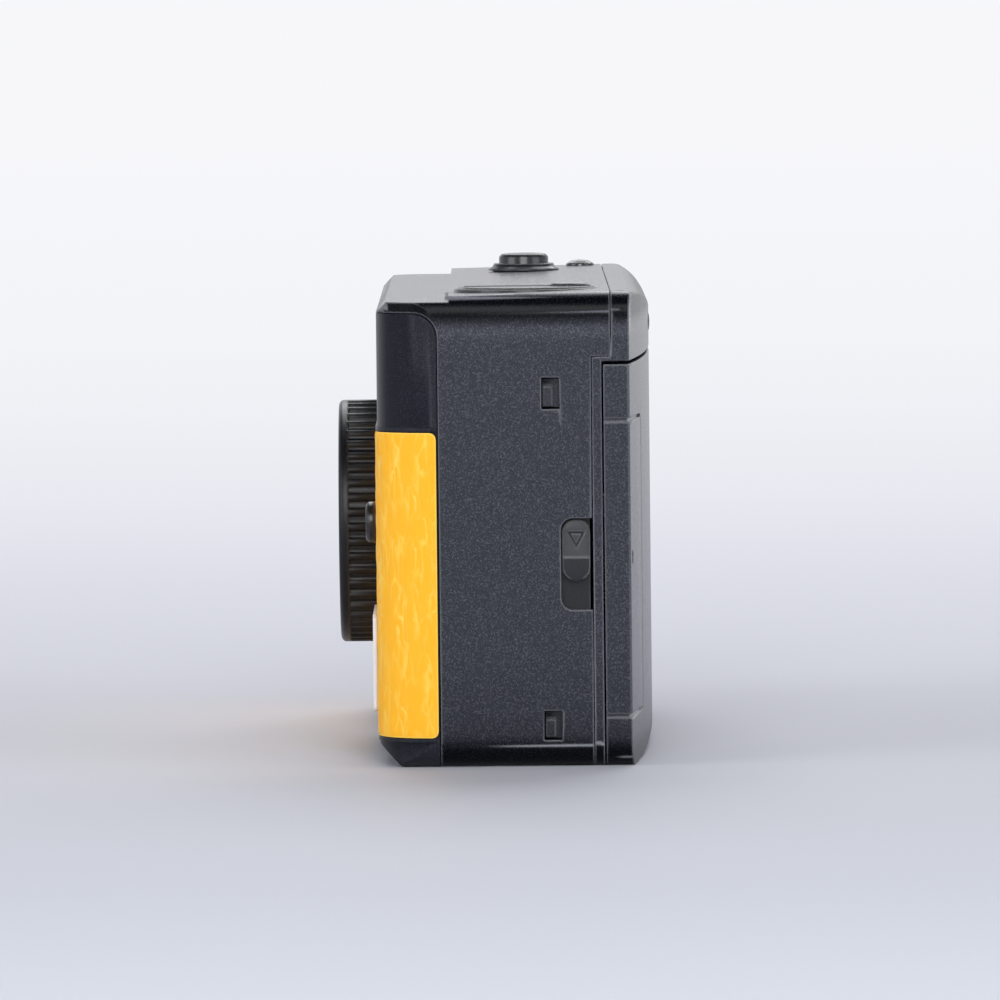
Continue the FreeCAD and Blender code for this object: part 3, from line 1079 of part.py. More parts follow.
def thumb_wheel():
    """A serrated wheel whose hub carries the single tooth that steps the frame counter."""
    rim = through_z(toothed(on_xy, (TAKE_UP_X, TAKE_UP_Y), WHEEL_R - 0.5, WHEEL_R, WHEEL_TEETH), WHEEL_Z)
    dish = minus(post(TAKE_UP_X, TAKE_UP_Y, (WHEEL_Z[1] - 0.8, WHEEL_Z[1] + 1), WHEEL_R - 2.0),
                 post(TAKE_UP_X, TAKE_UP_Y, (WHEEL_Z[0], WHEEL_Z[1] + 1), 3.0))
    hub = post(TAKE_UP_X, TAKE_UP_Y, (WHEEL_Z[1], COUNTER_Z[1]), STEP_HUB_R)
    reach = COUNTER_SPACING - COUNTER_R - GAP
    tooth = box((0, reach), (-0.3, 0.3), (COUNTER_Z[0] - 0.1, COUNTER_Z[1]))
    tooth.rotate(vec(0, 0, 0), vec(0, 0, 1), 11)
    tooth.translate(vec(TAKE_UP_X, TAKE_UP_Y, 0))
    return fuse(minus(rim, dish), hub, tooth)


def take_up_spool():
    """A slotted core with a hook for the film's leader, on pins in the chassis."""
    core = post(TAKE_UP_X, TAKE_UP_Y, (CHAMBER_FLOOR_Z + GAP, CHAMBER_CEILING_Z - GAP), SPOOL_R)
    low_pin = post(TAKE_UP_X, TAKE_UP_Y, (CHAMBER_FLOOR_Z - PIVOT_DEPTH, CHAMBER_FLOOR_Z + 1), PIVOT_R)
    drive = post(TAKE_UP_X, TAKE_UP_Y, (CHAMBER_CEILING_Z - 1, WHEEL_Z[0]), DRIVE_R)
    slots = []
    for turn in (0, 120, 240):
        slot = box((SPOOL_R - 2.2, SPOOL_R + 1), (-0.7, 0.7), (LENS_Z - 12, LENS_Z + 12))
        slot.rotate(vec(0, 0, 0), vec(0, 0, 1), turn)
        slot.translate(vec(TAKE_UP_X, TAKE_UP_Y, 0))
        slots.append(slot)
    hook = box((SPOOL_R - 0.5, SPOOL_R + 0.7), (-0.5, 0.9), (-0.6, 0.6))
    hook.rotate(vec(0, 0, 0), vec(0, 0, 1), 60)
    hook.translate(vec(TAKE_UP_X, TAKE_UP_Y, LENS_Z - PERFORATION_SPACING / 2))
    return fuse(minus(core, *slots), low_pin, drive, hook)


def sprocket_roller():
    """Two toothed bands that reach into the film's perforations, joined by a slimmer waist."""
    rows = (LENS_Z - PERFORATION_SPACING / 2, LENS_Z + PERFORATION_SPACING / 2)
    low = CHAMBER_FLOOR_Z + GAP
    high = CHAMBER_CEILING_Z - GAP
    shoulder = SPROCKET_R - 0.8
    waist = SPROCKET_R - 1.4
    foot = CHAMBER_FLOOR_Z - PIVOT_DEPTH
    head = CHASSIS_TOP_Z + 0.4
    band_low = (rows[0] - 3.2, rows[0] + 2.4)
    band_high = (rows[1] - 2.4, rows[1] + 3.2)
    roller = turned_z(SPROCKET_X, SPROCKET_Y, (foot, 0), (foot, PIVOT_R), (low, PIVOT_R), (low, shoulder),
                      (band_low[0], shoulder), (band_low[0], SPROCKET_R), (band_low[1], SPROCKET_R),
                      (band_low[1], waist), (band_high[0], waist), (band_high[0], SPROCKET_R),
                      (band_high[1], SPROCKET_R), (band_high[1], shoulder), (high, shoulder),
                      (high, PIVOT_R), (head, PIVOT_R), (head, 0))

    def section(reach, half_y, half_z):
        corners = ((-1, -1), (1, -1), (1, 1), (-1, 1), (-1, -1))
        return Part.makePolygon([vec(reach, y * half_y, z * half_z) for y, z in corners])
    foot_and_tip = [section(SPROCKET_R - 0.4, 0.7, 0.9), section(SPROCKET_R + TOOTH_REACH, 0.3, 0.5)]
    teeth = []
    for row in rows:
        for i in range(SPROCKET_TEETH):
            tooth = Part.makeLoft(foot_and_tip, True, True)
            tooth.rotate(vec(0, 0, 0), vec(0, 0, 1), (i + 0.5) * 360 / SPROCKET_TEETH)
            tooth.translate(vec(SPROCKET_X, SPROCKET_Y, row))
            teeth.append(tooth)
    return fuse(roller, *teeth)


def release_button():
    """A button with a stop flange and a stem that lifts the sprocket's clutch."""
    low, high = RELEASE_FLANGE_Z
    under = 0.25
    stem_r = PIVOT_R - GAP
    stem = CHAMBER_FLOOR_Z - PIVOT_DEPTH - GAP - RELEASE_TRAVEL
    return turned_z(SPROCKET_X, SPROCKET_Y, (under, 0), (under, RELEASE_R), (low, RELEASE_R),
                    (low, RELEASE_FLANGE_R), (high, RELEASE_FLANGE_R), (high, stem_r), (stem, stem_r),
                    (stem, 0))


def flash_switch():
    """A round knob outside, a stem through the slot and a keeper plate inside."""
    out = FRONT_Y - WRAP_PROUD - GAP
    inside = FRONT_Y + WALL + GAP
    knob = turned_y(SWITCH_X, SWITCH_Z, (out, 0), (out, SWITCH_R), (out - 1.0, SWITCH_R),
                    (out - 1.4, SWITCH_R - 0.4), (out - 1.4, SWITCH_R - 0.9), (out - 1.1, SWITCH_R - 1.2),
                    (out - 1.1, 0))
    stem = box((SWITCH_X - 1.0, SWITCH_X + 1.0), (out, inside + 0.2), (SWITCH_Z - 1.0, SWITCH_Z + 1.0))
    keeper = box((SWITCH_X - SWITCH_KEEPER_HALF, SWITCH_X + SWITCH_KEEPER_HALF), (inside, inside + 0.8),
                 (SWITCH_Z - SWITCH_KEEPER_HALF, SWITCH_Z + SWITCH_KEEPER_HALF))
    return fuse(knob, stem, keeper)


def latch_slider():
    """The thumb slide: a sloping upper half, a step, and a raised lower half, on a plate behind the wall."""
    y0, y1 = LATCH_Y
    z0, z1 = LATCH_Z
    mid_y = (y0 + y1) / 2
    r = (y1 - y0) / 2 - 0.05
    out = HALF - 0.3
    face = through_x(rounded(on_yz, (y0, y1), (z0, z1), r), (LATCH_PLATE_X[1] - 0.1, out))
    step_z = z0 + 0.38 * LATCH_HEIGHT
    slope = through_y(outline(on_xz, (out + 1, step_z), (out - 0.35, step_z), (out - 0.9, z1 + 1),
                              (out + 1, z1 + 1)), (y0 - 1, y1 + 1))
    mark = through_x(outline(on_yz, (mid_y - 1.25, z1 - 1.6), (mid_y + 1.25, z1 - 1.6), (mid_y, z1 - 3.9)),
                     (out - 0.95, out + 1))
    plate = box(LATCH_PLATE_X, (y0 - 1.0, y1), LATCH_PLATE_Z)
    tooth = box((CATCH_X[0] - 0.1, LATCH_PLATE_X[0] + 0.1), (y1 - 0.9, y1), CATCH_TOOTH_Z)
    return fuse(minus(face, slope, mark), plate, tooth)


def latch_spring():
    """A zigzag leaf between the slide's plate and its seat in the wall."""
    turns = 6
    mid_y = (LATCH_Y[0] + LATCH_Y[1]) / 2
    rise = (LATCH_PLATE_Z[0] - SPRING_SEAT_Z) / turns
    there = []
    back = []
    for i in range(turns + 1):
        side = 1.2 if i % 2 else -1.2
        there.append(vec(0, mid_y + side - 0.3, SPRING_SEAT_Z + i * rise))
        back.insert(0, vec(0, mid_y + side + 0.3, SPRING_SEAT_Z + i * rise))
    wire = Part.makePolygon(there + back + there[:1])
    return through_x(wire, (LATCH_PLATE_X[0] + 0.05, LATCH_PLATE_X[1] - 0.05))


def back_door():
    zone = box((-FAR, FAR), (DOOR_Y + 0.15, FAR), (-FAR, DOOR_TOP_Z - 0.15))
    shell = OUTSIDE.common(zone)
    hollow = DOOR_INSIDE.common(box((-FAR, FAR), (-FAR, FAR), (-FAR, DOOR_TOP_Z - 0.15 - DOOR_WALL)))
    shell = minus(shell, hollow)
    corner = box((-FAR, HINGE_X), (-FAR, FAR), (-FAR, FAR))
    roll = post(HINGE_X, HINGE_Y, (1.2, DOOR_TOP_Z - 1.2), HINGE_ROLL_R)
    lip_y = (LATCH_Y[1] - 2.1, LATCH_Y[1] - 1.1)
    arm_z = (LATCH_Z[1] + GAP, LATCH_Z[1] + GAP + 2.9)
    arm = box(CATCH_X, (lip_y[0], DOOR_Y + 2.4), arm_z)
    lip = box(CATCH_X, lip_y, (CATCH_TOOTH_Z[0] + 0.2, arm_z[0] + 0.1))
    root = box((CATCH_X[0], HALF - 1.0), (DOOR_Y + 0.5, DOOR_Y + 2.4), arm_z)
    posts = [barrel(x, LENS_Z, (PLATE_BACK_Y + 0.4, rear_surface(x) - 1.0), PLATE_POST_R)
             for x in (PLATE_MID_X - PLATE_POST_X, PLATE_MID_X + PLATE_POST_X)]
    door = fuse(minus(shell, corner), roll, arm, lip, root, *posts)
    notches = [box((-HALF - 1, HINGE_X + 2.6), (-5, FAR), (z[0] - GAP, z[1] + GAP)) for z in LUG_Z]
    pin_hole = post(HINGE_X, HINGE_Y, (0, DOOR_TOP_Z), HINGE_PIN_R + RUNNING)
    skin = OUTSIDE.cut(body_form(GROOVE_DEPTH))
    groove = skin.common(groove_band((HALF - GROOVE_REACH, HALF + 10), GROOVE_Z, 2.0, GROOVE_WIDTH))
    dimple = barrel(DIMPLE_X, DIMPLE_Z, (FILM_TO_REAR_EDGE - 0.4, FAR), DIMPLE_R)
    return minus(door, pin_hole, groove, dimple, *notches)


def pressure_plate():
    """A flat plate with turned-in ends, guided on two posts by sockets on its back."""
    z = (LENS_Z - PLATE_HEIGHT / 2, LENS_Z + PLATE_HEIGHT / 2)
    plate = through_y(rounded(on_xz, PLATE_X, z, 2.0), PLATE_Y)
    sockets = []
    rooms = []
    for side in (-1, 1):
        x = PLATE_MID_X + side * PLATE_POST_X
        sockets.append(barrel(x, LENS_Z, (PLATE_Y[1] - 0.1, PLATE_Y[1] + 2.0), 2.6))
        rooms.append(barrel(x, LENS_Z, (PLATE_Y[1] - 0.4, PLATE_Y[1] + 3.0), PLATE_POST_R + RUNNING))
    return minus(fuse(plate, *sockets), *rooms)


def pressure_spring():
    """A bowed leaf between the door and the plate."""
    mid = PLATE_MID_X
    front = PLATE_Y[1]
    back = rear_surface(mid) - DOOR_WALL
    t = 0.3
    wire = outline(
        on_xy, (mid - 10, front), ((mid, back - t), (mid + 10, front)), (mid + 10, front + t),
        ((mid, back), (mid - 10, front + t)))
    return through_z(wire, (LENS_Z - 11.0, LENS_Z - 5.0))


def light_seal():
    """A foam strip stuck inside the door beside its hinge."""
    foam = body_form(DOOR_WALL).cut(body_form(DOOR_WALL + SEAL_THICKNESS))
    x = (HINGE_X + 4.0, HINGE_X + 4.0 + SEAL_WIDTH)
    return foam.common(box(x, (DOOR_Y + 0.5, FAR), (6.0, DOOR_TOP_Z - 6.0)))


def hinge_pin():
    return post(HINGE_X, HINGE_Y, (2.0, DOOR_TOP_Z - 1.9), HINGE_PIN_R)


def strap_bar():
    return post(-HALF + 1.6, sum(STRAP_Y) / 2, (STRAP_Z[0] - 1.0, STRAP_Z[1] + 1.0), STRAP_BAR_R)


def main():
    os.makedirs("parts", exist_ok=True)
    save("front_cover", front_cover())
    save("leatherette_wrap", leatherette_wrap())
    save("middle_shell", middle_shell())
    save("rear_frame", rear_frame())
    save("film_chassis", film_chassis())
    save("chassis_floor", chassis_floor())
    save("cartridge_chamber_wall", cartridge_chamber_wall())
    save("take_up_chamber_wall", take_up_chamber_wall())
    save("battery_bay_case", battery_bay_case())
    save("light_box", light_box())
    save("lens_ring", lens_ring())
    save("lens_bezel", lens_bezel())
    save("lens_barrel", lens_barrel())
    save("front_lens_element", lens_solid(*FRONT_ELEMENT, *FRONT_ELEMENT_SAGS))
    save("aperture_plate", aperture_plate())
    save("rear_lens_element", lens_solid(*REAR_ELEMENT, *REAR_ELEMENT_SAGS))
    save("shutter_plate", shutter_plate())
    save("shutter_blade", shutter_blade())
    save("white_plate", white_plate())
    save("flash_window", flash_window())
    save("flash_reflector", flash_reflector())
    save("flash_tube", flash_tube())
    save("flash_capacitor", flash_capacitor())
    save("flash_circuit_board", flash_circuit_board())
    save("flash_transformer", flash_transformer())
    save("viewfinder_front_lens", finder_front_lens())
    save("viewfinder_tunnel", finder_tunnel())
    save("viewfinder_eyepiece", finder_eyepiece())
    save("flash_ready_lamp", ready_lamp())
    save("counter_window", counter_window())
    save("counter_disc", counter_disc())
    save("battery_contacts", *battery_contacts())
    save("battery_door", battery_door())
    save("battery_hinge_pins", *battery_hinge_pins())
    save("body_screws", *body_screws())
    save("rewind_collar", rewind_collar())
    save("rewind_sleeve", rewind_sleeve())
    save("rewind_shaft", rewind_shaft())
    save("crank_disc", crank_disc())
    save("crank_arm", crank_arm())
    save("crank_knob", crank_knob())
    save("shutter_button_collar", button_collar())
    save("shutter_button", shutter_button())
    save("shutter_button_spring", button_spring())
    save("thumb_wheel", thumb_wheel())
    save("take_up_spool", take_up_spool())
    save("sprocket_roller", sprocket_roller())
    save("rewind_release_button", release_button())
    save("flash_switch", flash_switch())
    save("latch_slider", latch_slider())
    save("latch_spring", latch_spring())
    save("back_door", back_door())
    save("pressure_plate", pressure_plate())
    save("pressure_spring", pressure_spring())
    save("light_seal", light_seal())
    save("door_hinge_pin", hinge_pin())
    save("strap_bar", strap_bar())


main()
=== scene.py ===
import math

import bmesh
import bpy
from mathutils import Matrix, Vector


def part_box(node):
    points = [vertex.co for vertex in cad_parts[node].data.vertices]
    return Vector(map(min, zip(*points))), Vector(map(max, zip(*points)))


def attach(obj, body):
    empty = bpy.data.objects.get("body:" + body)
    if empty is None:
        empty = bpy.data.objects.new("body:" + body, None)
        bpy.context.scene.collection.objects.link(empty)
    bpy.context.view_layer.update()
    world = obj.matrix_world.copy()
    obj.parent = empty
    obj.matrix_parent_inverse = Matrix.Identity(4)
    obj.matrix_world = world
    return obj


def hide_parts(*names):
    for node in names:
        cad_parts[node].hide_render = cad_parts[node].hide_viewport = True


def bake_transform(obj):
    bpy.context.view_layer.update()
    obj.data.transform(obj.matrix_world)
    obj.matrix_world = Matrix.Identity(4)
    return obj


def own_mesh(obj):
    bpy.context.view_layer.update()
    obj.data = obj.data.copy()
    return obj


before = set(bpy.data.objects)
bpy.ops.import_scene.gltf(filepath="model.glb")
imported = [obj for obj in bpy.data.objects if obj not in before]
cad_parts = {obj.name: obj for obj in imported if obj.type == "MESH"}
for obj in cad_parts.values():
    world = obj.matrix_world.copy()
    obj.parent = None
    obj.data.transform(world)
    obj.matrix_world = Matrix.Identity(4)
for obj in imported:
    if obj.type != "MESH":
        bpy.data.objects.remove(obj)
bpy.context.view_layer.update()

MM = 0.001


# Camera position and studio
# The camera body stands on pale paper that sweeps up behind it, in soft light from behind and both sides.
# The view is square to the rewind end, from about 1.4 m, a little above the top.
VIEW_PLACE = Vector((1.4595, -0.0117, 0.1107))
VIEW_PITCH = math.radians(3.07)
VIEW_ROLL = math.radians(0.60)
VIEW_LENS = 380.5
VIEW_SENSOR = 36.0
VIEW_REACH = 60.0
SWEEP_FLOOR_X = (2.4, 0.6, -1.2)
SWEEP_BEND_X = -4.0
SWEEP_BEND_R = 1.5
SWEEP_BEND_STEPS = 12
SWEEP_HALF = 4.0
SWEEP_HEIGHT = 4.0
# The paper's tones are painted light and shade: darkest round the camera body, lighter in front and far
# behind.
SWEEP_PAINTED_LIGHT = ((0.36, (213, 217, 226)), (0.24, (204, 207, 217)), (0.14, (202, 204, 213)),
               (0.01, (204, 205, 214)), (-0.15, (211, 212, 222)), (-0.36, (222, 223, 232)),
               (-0.62, (233, 234, 241)), (-0.98, (239, 240, 245)), (-1.45, (243, 244, 248)),
               (-4.0, (247, 247, 250)))
SWEEP_GLOW_X = (-0.10, -0.55)
PAPER_ROUGH = 0.62
PAPER_GLOSS = 0.25
HORIZON_LIGHT = 0.84
ZENITH_LIGHT = 0.10
ZENITH_FROM = 0.85
ROOM_TINT = (0.95, 0.97, 1.0, 1)
LAMP_TINT = (0.97, 0.98, 1.0)
LAMP_AIM = Vector((0, 0, 0.03))
LAMPS = (("lamp_behind", (-1.3, 0.15, 1.5), 1.5, 22.0), ("lamp_front_side", (0.9, -1.6, 0.7), 1.2, 10.0),
         ("lamp_back_side", (0.9, 1.6, 0.7), 1.2, 7.0), ("lamp_before", (2.0, 0.0, 1.0), 1.2, 25.0))


def placed(name, data):
    """An object of this data, in the scene."""
    thing = bpy.data.objects.new(name, data)
    bpy.context.collection.objects.link(thing)
    return thing


def linear(r, g, b):
    """A display colour from 0 to 255 as the linear colour that a shader takes."""
    channels = []
    for c in (r, g, b):
        c /= 255
        channels.append(c / 12.92 if c <= 0.04045 else ((c + 0.055) / 1.055) ** 2.4)
    return (*channels, 1.0)


def feed(node, inputs):
    """Gives the node's inputs their values. An input that gets another node's output is linked to it."""
    for socket, given in inputs.items():
        if isinstance(given, bpy.types.NodeSocket):
            node.id_data.links.new(given, node.inputs[socket])
        else:
            node.inputs[socket].default_value = given
    return node


def add(tree, kind, inputs=None, **settings):
    """A new node in the tree, with its settings and inputs."""
    node = tree.nodes.new(kind)
    for name, setting in settings.items():
        setattr(node, name, setting)
    return feed(node, inputs or {})


def surface(name):
    """A new material, with its tree and its shader."""
    mat = bpy.data.materials.new(name)
    mat.use_nodes = True
    return mat, mat.node_tree, mat.node_tree.nodes["Principled BSDF"]


def on_object(tree):
    """The place on the piece, which is also its place on the camera at rest."""
    return add(tree, "ShaderNodeTexCoord").outputs["Object"]


def height_of(tree, place):
    """How high a place is, or how far a way points up."""
    return add(tree, "ShaderNodeSeparateXYZ", {0: place}).outputs["Z"]


def reckoned(tree, operation, *values, clamped=False):
    """A step of arithmetic on numbers and outputs."""
    inputs = dict(enumerate(values))
    return add(tree, "ShaderNodeMath", inputs, operation=operation, use_clamp=clamped).outputs[0]


def ranged(tree, value, low, high, to_low=0.0, to_high=1.0, way="LINEAR"):
    """The value carried from one range to another, and held inside it."""
    ends = {"From Min": low, "From Max": high, "To Min": to_low, "To Max": to_high}
    return add(tree, "ShaderNodeMapRange", {"Value": value, **ends}, interpolation_type=way).outputs[0]


def toned(tree, value, stops):
    """The colour at a value, between stops that each have a value and a colour."""
    first, last = stops[0][0], stops[-1][0]
    tone = add(tree, "ShaderNodeValToRGB", {"Fac": ranged(tree, value, first, last)})
    ramp = tone.color_ramp.elements
    ramp.remove(ramp[1])
    for i, (place, colour) in enumerate(stops):
        share = (place - first) / (last - first)
        stop = ramp.new(share) if i else ramp[0]
        stop.position = share
        stop.color = colour
    return tone.outputs["Color"]


view_forward = Vector((-math.cos(VIEW_PITCH), 0, -math.sin(VIEW_PITCH)))
view_right = Vector((0, 1, 0))
view_up = view_right.cross(view_forward)
view_turn = Matrix.Rotation(VIEW_ROLL, 3, view_forward)
view_axes = Matrix((view_turn @ view_right, view_turn @ view_up, view_turn @ -view_forward)).transposed()
view_data = bpy.data.cameras.new("view")
view_data.lens = VIEW_LENS
view_data.sensor_width = VIEW_SENSOR
view_data.clip_end = VIEW_REACH
view = placed("view", view_data)
view.matrix_world = Matrix.Translation(VIEW_PLACE) @ view_axes.to_4x4()
bpy.context.scene.camera = view
bpy.context.scene.view_settings.view_transform = "Standard"

sweep_line = [(x, 0.0) for x in SWEEP_FLOOR_X]
for i in range(SWEEP_BEND_STEPS + 1):
    angle = math.pi / 2 * i / SWEEP_BEND_STEPS
    sweep_line.append((SWEEP_BEND_X - SWEEP_BEND_R * math.sin(angle), SWEEP_BEND_R * (1 - math.cos(angle))))
sweep_line.append((SWEEP_BEND_X - SWEEP_BEND_R, SWEEP_HEIGHT))
sweep_mesh = bpy.data.meshes.new("paper_sweep")
sweep_mesh.from_pydata([(x, side * SWEEP_HALF, z) for x, z in sweep_line for side in (-1, 1)], [],
                       [(2 * i, 2 * i + 1, 2 * i + 3, 2 * i + 2) for i in range(len(sweep_line) - 1)])


def sweep_paper():
    """Paper in tones of painted light and shade. Far from the camera body it glows in its painted tone for
    the view and for reflections.
    """
    paper, tree, shader = surface("pale_paper")
    x = add(tree, "ShaderNodeSeparateXYZ", {0: on_object(tree)}).outputs["X"]
    tone = toned(tree, x, [(place_x, linear(*colour)) for place_x, colour in SWEEP_PAINTED_LIGHT])
    feed(shader, {"Roughness": PAPER_ROUGH, "Specular IOR Level": PAPER_GLOSS, "Base Color": tone})
    ray = add(tree, "ShaderNodeLightPath").outputs
    seen = reckoned(tree, "MAXIMUM", ray["Is Camera Ray"], ray["Is Glossy Ray"])
    seen = reckoned(tree, "MAXIMUM", seen, ray["Is Transmission Ray"])
    # Far behind the camera body the paper glows in its painted tone, unlit, for the view, reflections and
    # refractions.
    share = reckoned(tree, "MULTIPLY", seen, ranged(tree, x, *SWEEP_GLOW_X))
    painted_glow = add(tree, "ShaderNodeEmission", {"Color": tone})
    both = add(tree, "ShaderNodeMixShader", {"Fac": share, 1: shader.outputs[0], 2: painted_glow.outputs[0]})
    feed(tree.nodes["Material Output"], {"Surface": both.outputs[0]})
    return paper


sweep_mesh.materials.append(sweep_paper())
placed("paper_sweep", sweep_mesh)

room = bpy.data.worlds.new("studio")
room.use_nodes = True
bpy.context.scene.world = room
sky = room.node_tree
sky_way = add(sky, "ShaderNodeTexCoord").outputs["Generated"]
sky_light = ranged(sky, height_of(sky, sky_way), 0, ZENITH_FROM, HORIZON_LIGHT, ZENITH_LIGHT, "SMOOTHSTEP")
feed(sky.nodes["Background"], {"Color": ROOM_TINT, "Strength": sky_light})
for name, place, size, power in LAMPS:
    lamp_data = bpy.data.lights.new(name, "AREA")
    lamp_data.shape = "SQUARE"
    lamp_data.size = size
    lamp_data.energy = power
    lamp_data.color = LAMP_TINT
    lamp = placed(name, lamp_data)
    lamp.location = place
    lamp.rotation_mode = "QUATERNION"
    lamp.rotation_quaternion = (LAMP_AIM - Vector(place)).to_track_quat("-Z", "Y")


# Front cover
# An injection-moulded shell that carries the lens, flash and finder, with a recess for the leatherette.
# Its ends curve back to meet the middle shell, and a rolled bead closes the wrap above and below.
WELD_WITHIN = 0.002 * MM
FLAT_WITHIN = math.radians(0.4)
EDGE_TURN = math.radians(28)
LONG_EDGE = 3.5
ROOM_BESIDE_EDGE = 2.5
EDGE_STEPS = 2
EDGE_HIGHLIGHT_R = 0.40 * MM
EDGE_HIGHLIGHT_FROM = (0.97, 0.90)
CLOUD_SCALE = 70.0
CLOUD_TONES = (0.86, 1.14)
GLINT_FROM = (0.52, 0.60)
GLINT_TONE = (2.5, 0.05)
EDGE_HIGHLIGHT_TONE = (3.0, 0.20)
UPWARD_LIT_FROM = (0.80, 0.97)
UPWARD_PAINTED_LIGHT = 1.4
RING_MARK_UNIT = 0.31416


def mark_long_edges(skin, edge):
    """Marks the skin's long sharp edges, where the faces beside them have room for the rounding."""
    share = skin.edges.layers.float.new("bevel_weight_edge")
    for seam in skin.edges:
        if seam.calc_length() < LONG_EDGE * MM or seam.calc_face_angle(0) < EDGE_TURN:
            continue
        way = (seam.verts[1].co - seam.verts[0].co).normalized()
        legs = [near.verts[1].co - near.verts[0].co for face in seam.link_faces for near in face.edges
                if near is not seam and set(near.verts) & set(seam.verts)]
        across = [leg.cross(way).length for leg in legs if leg.cross(way).length > 0.5 * leg.length]
        seam[share] = float(min(across, default=1) > ROOM_BESIDE_EDGE * edge * MM)


def moulding(node, name, slot, material, edge, body="camera_body", long_only=False, crease=32, flats=False):
    """The CAD node as one skin with its sharp edges rounded by edge mm, which stands for the node.
    With long_only, only its long sharp edges are rounded."""
    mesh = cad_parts[node].data.copy()
    skin = bmesh.new()
    skin.from_mesh(mesh)
    bmesh.ops.remove_doubles(skin, verts=skin.verts, dist=WELD_WITHIN)
    bmesh.ops.dissolve_limit(skin, angle_limit=FLAT_WITHIN, verts=skin.verts, edges=skin.edges)
    if long_only:
        mark_long_edges(skin, edge)
    skin.to_mesh(mesh)
    skin.free()
    draft = placed(name, mesh)
    if edge:
        rounding = draft.modifiers.new("edges", "BEVEL")
        rounding.width = edge * MM
        rounding.segments = EDGE_STEPS
        rounding.limit_method = "WEIGHT" if long_only else "ANGLE"
        rounding.use_clamp_overlap = not long_only
        rounding.angle_limit = EDGE_TURN
    if not flats:
        draft.modifiers.new("triangles", "TRIANGULATE")
    return finished(draft, name, slot, material, node, body=body, turn=crease, flats=flats)


def mouldings(*rows):
    """A moulding for each row: its node, name, slot, material and edge, and its body if it moves."""
    for row in rows:
        moulding(*row)


def made_from(draft):
    """The draft's mesh with its modifiers applied."""
    return bpy.data.meshes.new_from_object(draft.evaluated_get(bpy.context.evaluated_depsgraph_get()))


def finished(draft, name, slot, material, *stands_for, body="camera_body", turn=32, flats=False):
    """Makes the piece of what the draft's modifiers give, and puts it on its body.
    With flats, the shading of large flat faces stays flat up to their rounded edges."""
    made = made_from(draft)
    made.shade_smooth()
    made.set_sharp_from_angle(angle=math.radians(turn))
    if flats:
        draft.modifiers.clear()
        draft.data = made
        weighed = draft.modifiers.new("flats", "WEIGHTED_NORMAL")
        weighed.mode = "FACE_AREA"
        weighed.keep_sharp = True
        split = draft.modifiers.new("triangles", "TRIANGULATE")
        split.keep_custom_normals = True
        made = made_from(draft)
    bpy.data.objects.remove(draft)
    made.name = name
    made.materials.clear()
    made.materials.append(material)
    for face in made.polygons:
        face.material_index = 0
    piece = placed(name, made)
    if body:
        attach(piece, body)
    if stands_for:
        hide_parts(*stands_for)
    return piece


def vectored(tree, operation, inputs, give="Vector"):
    """A step of arithmetic on places, ways or colours."""
    return add(tree, "ShaderNodeVectorMath", inputs, operation=operation).outputs[give]


def noise(tree, place, scale, detail=2.0, rough=0.5, give="Fac"):
    """Soft noise over a place, of this many lumps to the metre."""
    return add(tree, "ShaderNodeTexNoise", {"Vector": place, "Scale": scale, "Detail": detail,
                                            "Roughness": rough}).outputs[give]


def shade(colour, share, lift=0.0):
    """The colour times a share, and lifted."""
    return (*[min(1, c * share + lift) for c in colour[:3]], 1)


def mixed(tree, share, first, second):
    """The first colour turning to the second as the share grows."""
    return add(tree, "ShaderNodeMix", {"Factor": share, "A": first, "B": second},
               data_type="RGBA").outputs["Result"]


def bumped(tree, height, relief, under=None):
    """The way that a surface faces when a relief of this depth is on it."""
    bump = add(tree, "ShaderNodeBump", {"Height": height, "Distance": relief})
    if under is not None:
        feed(bump, {"Normal": under})
    return bump.outputs["Normal"]


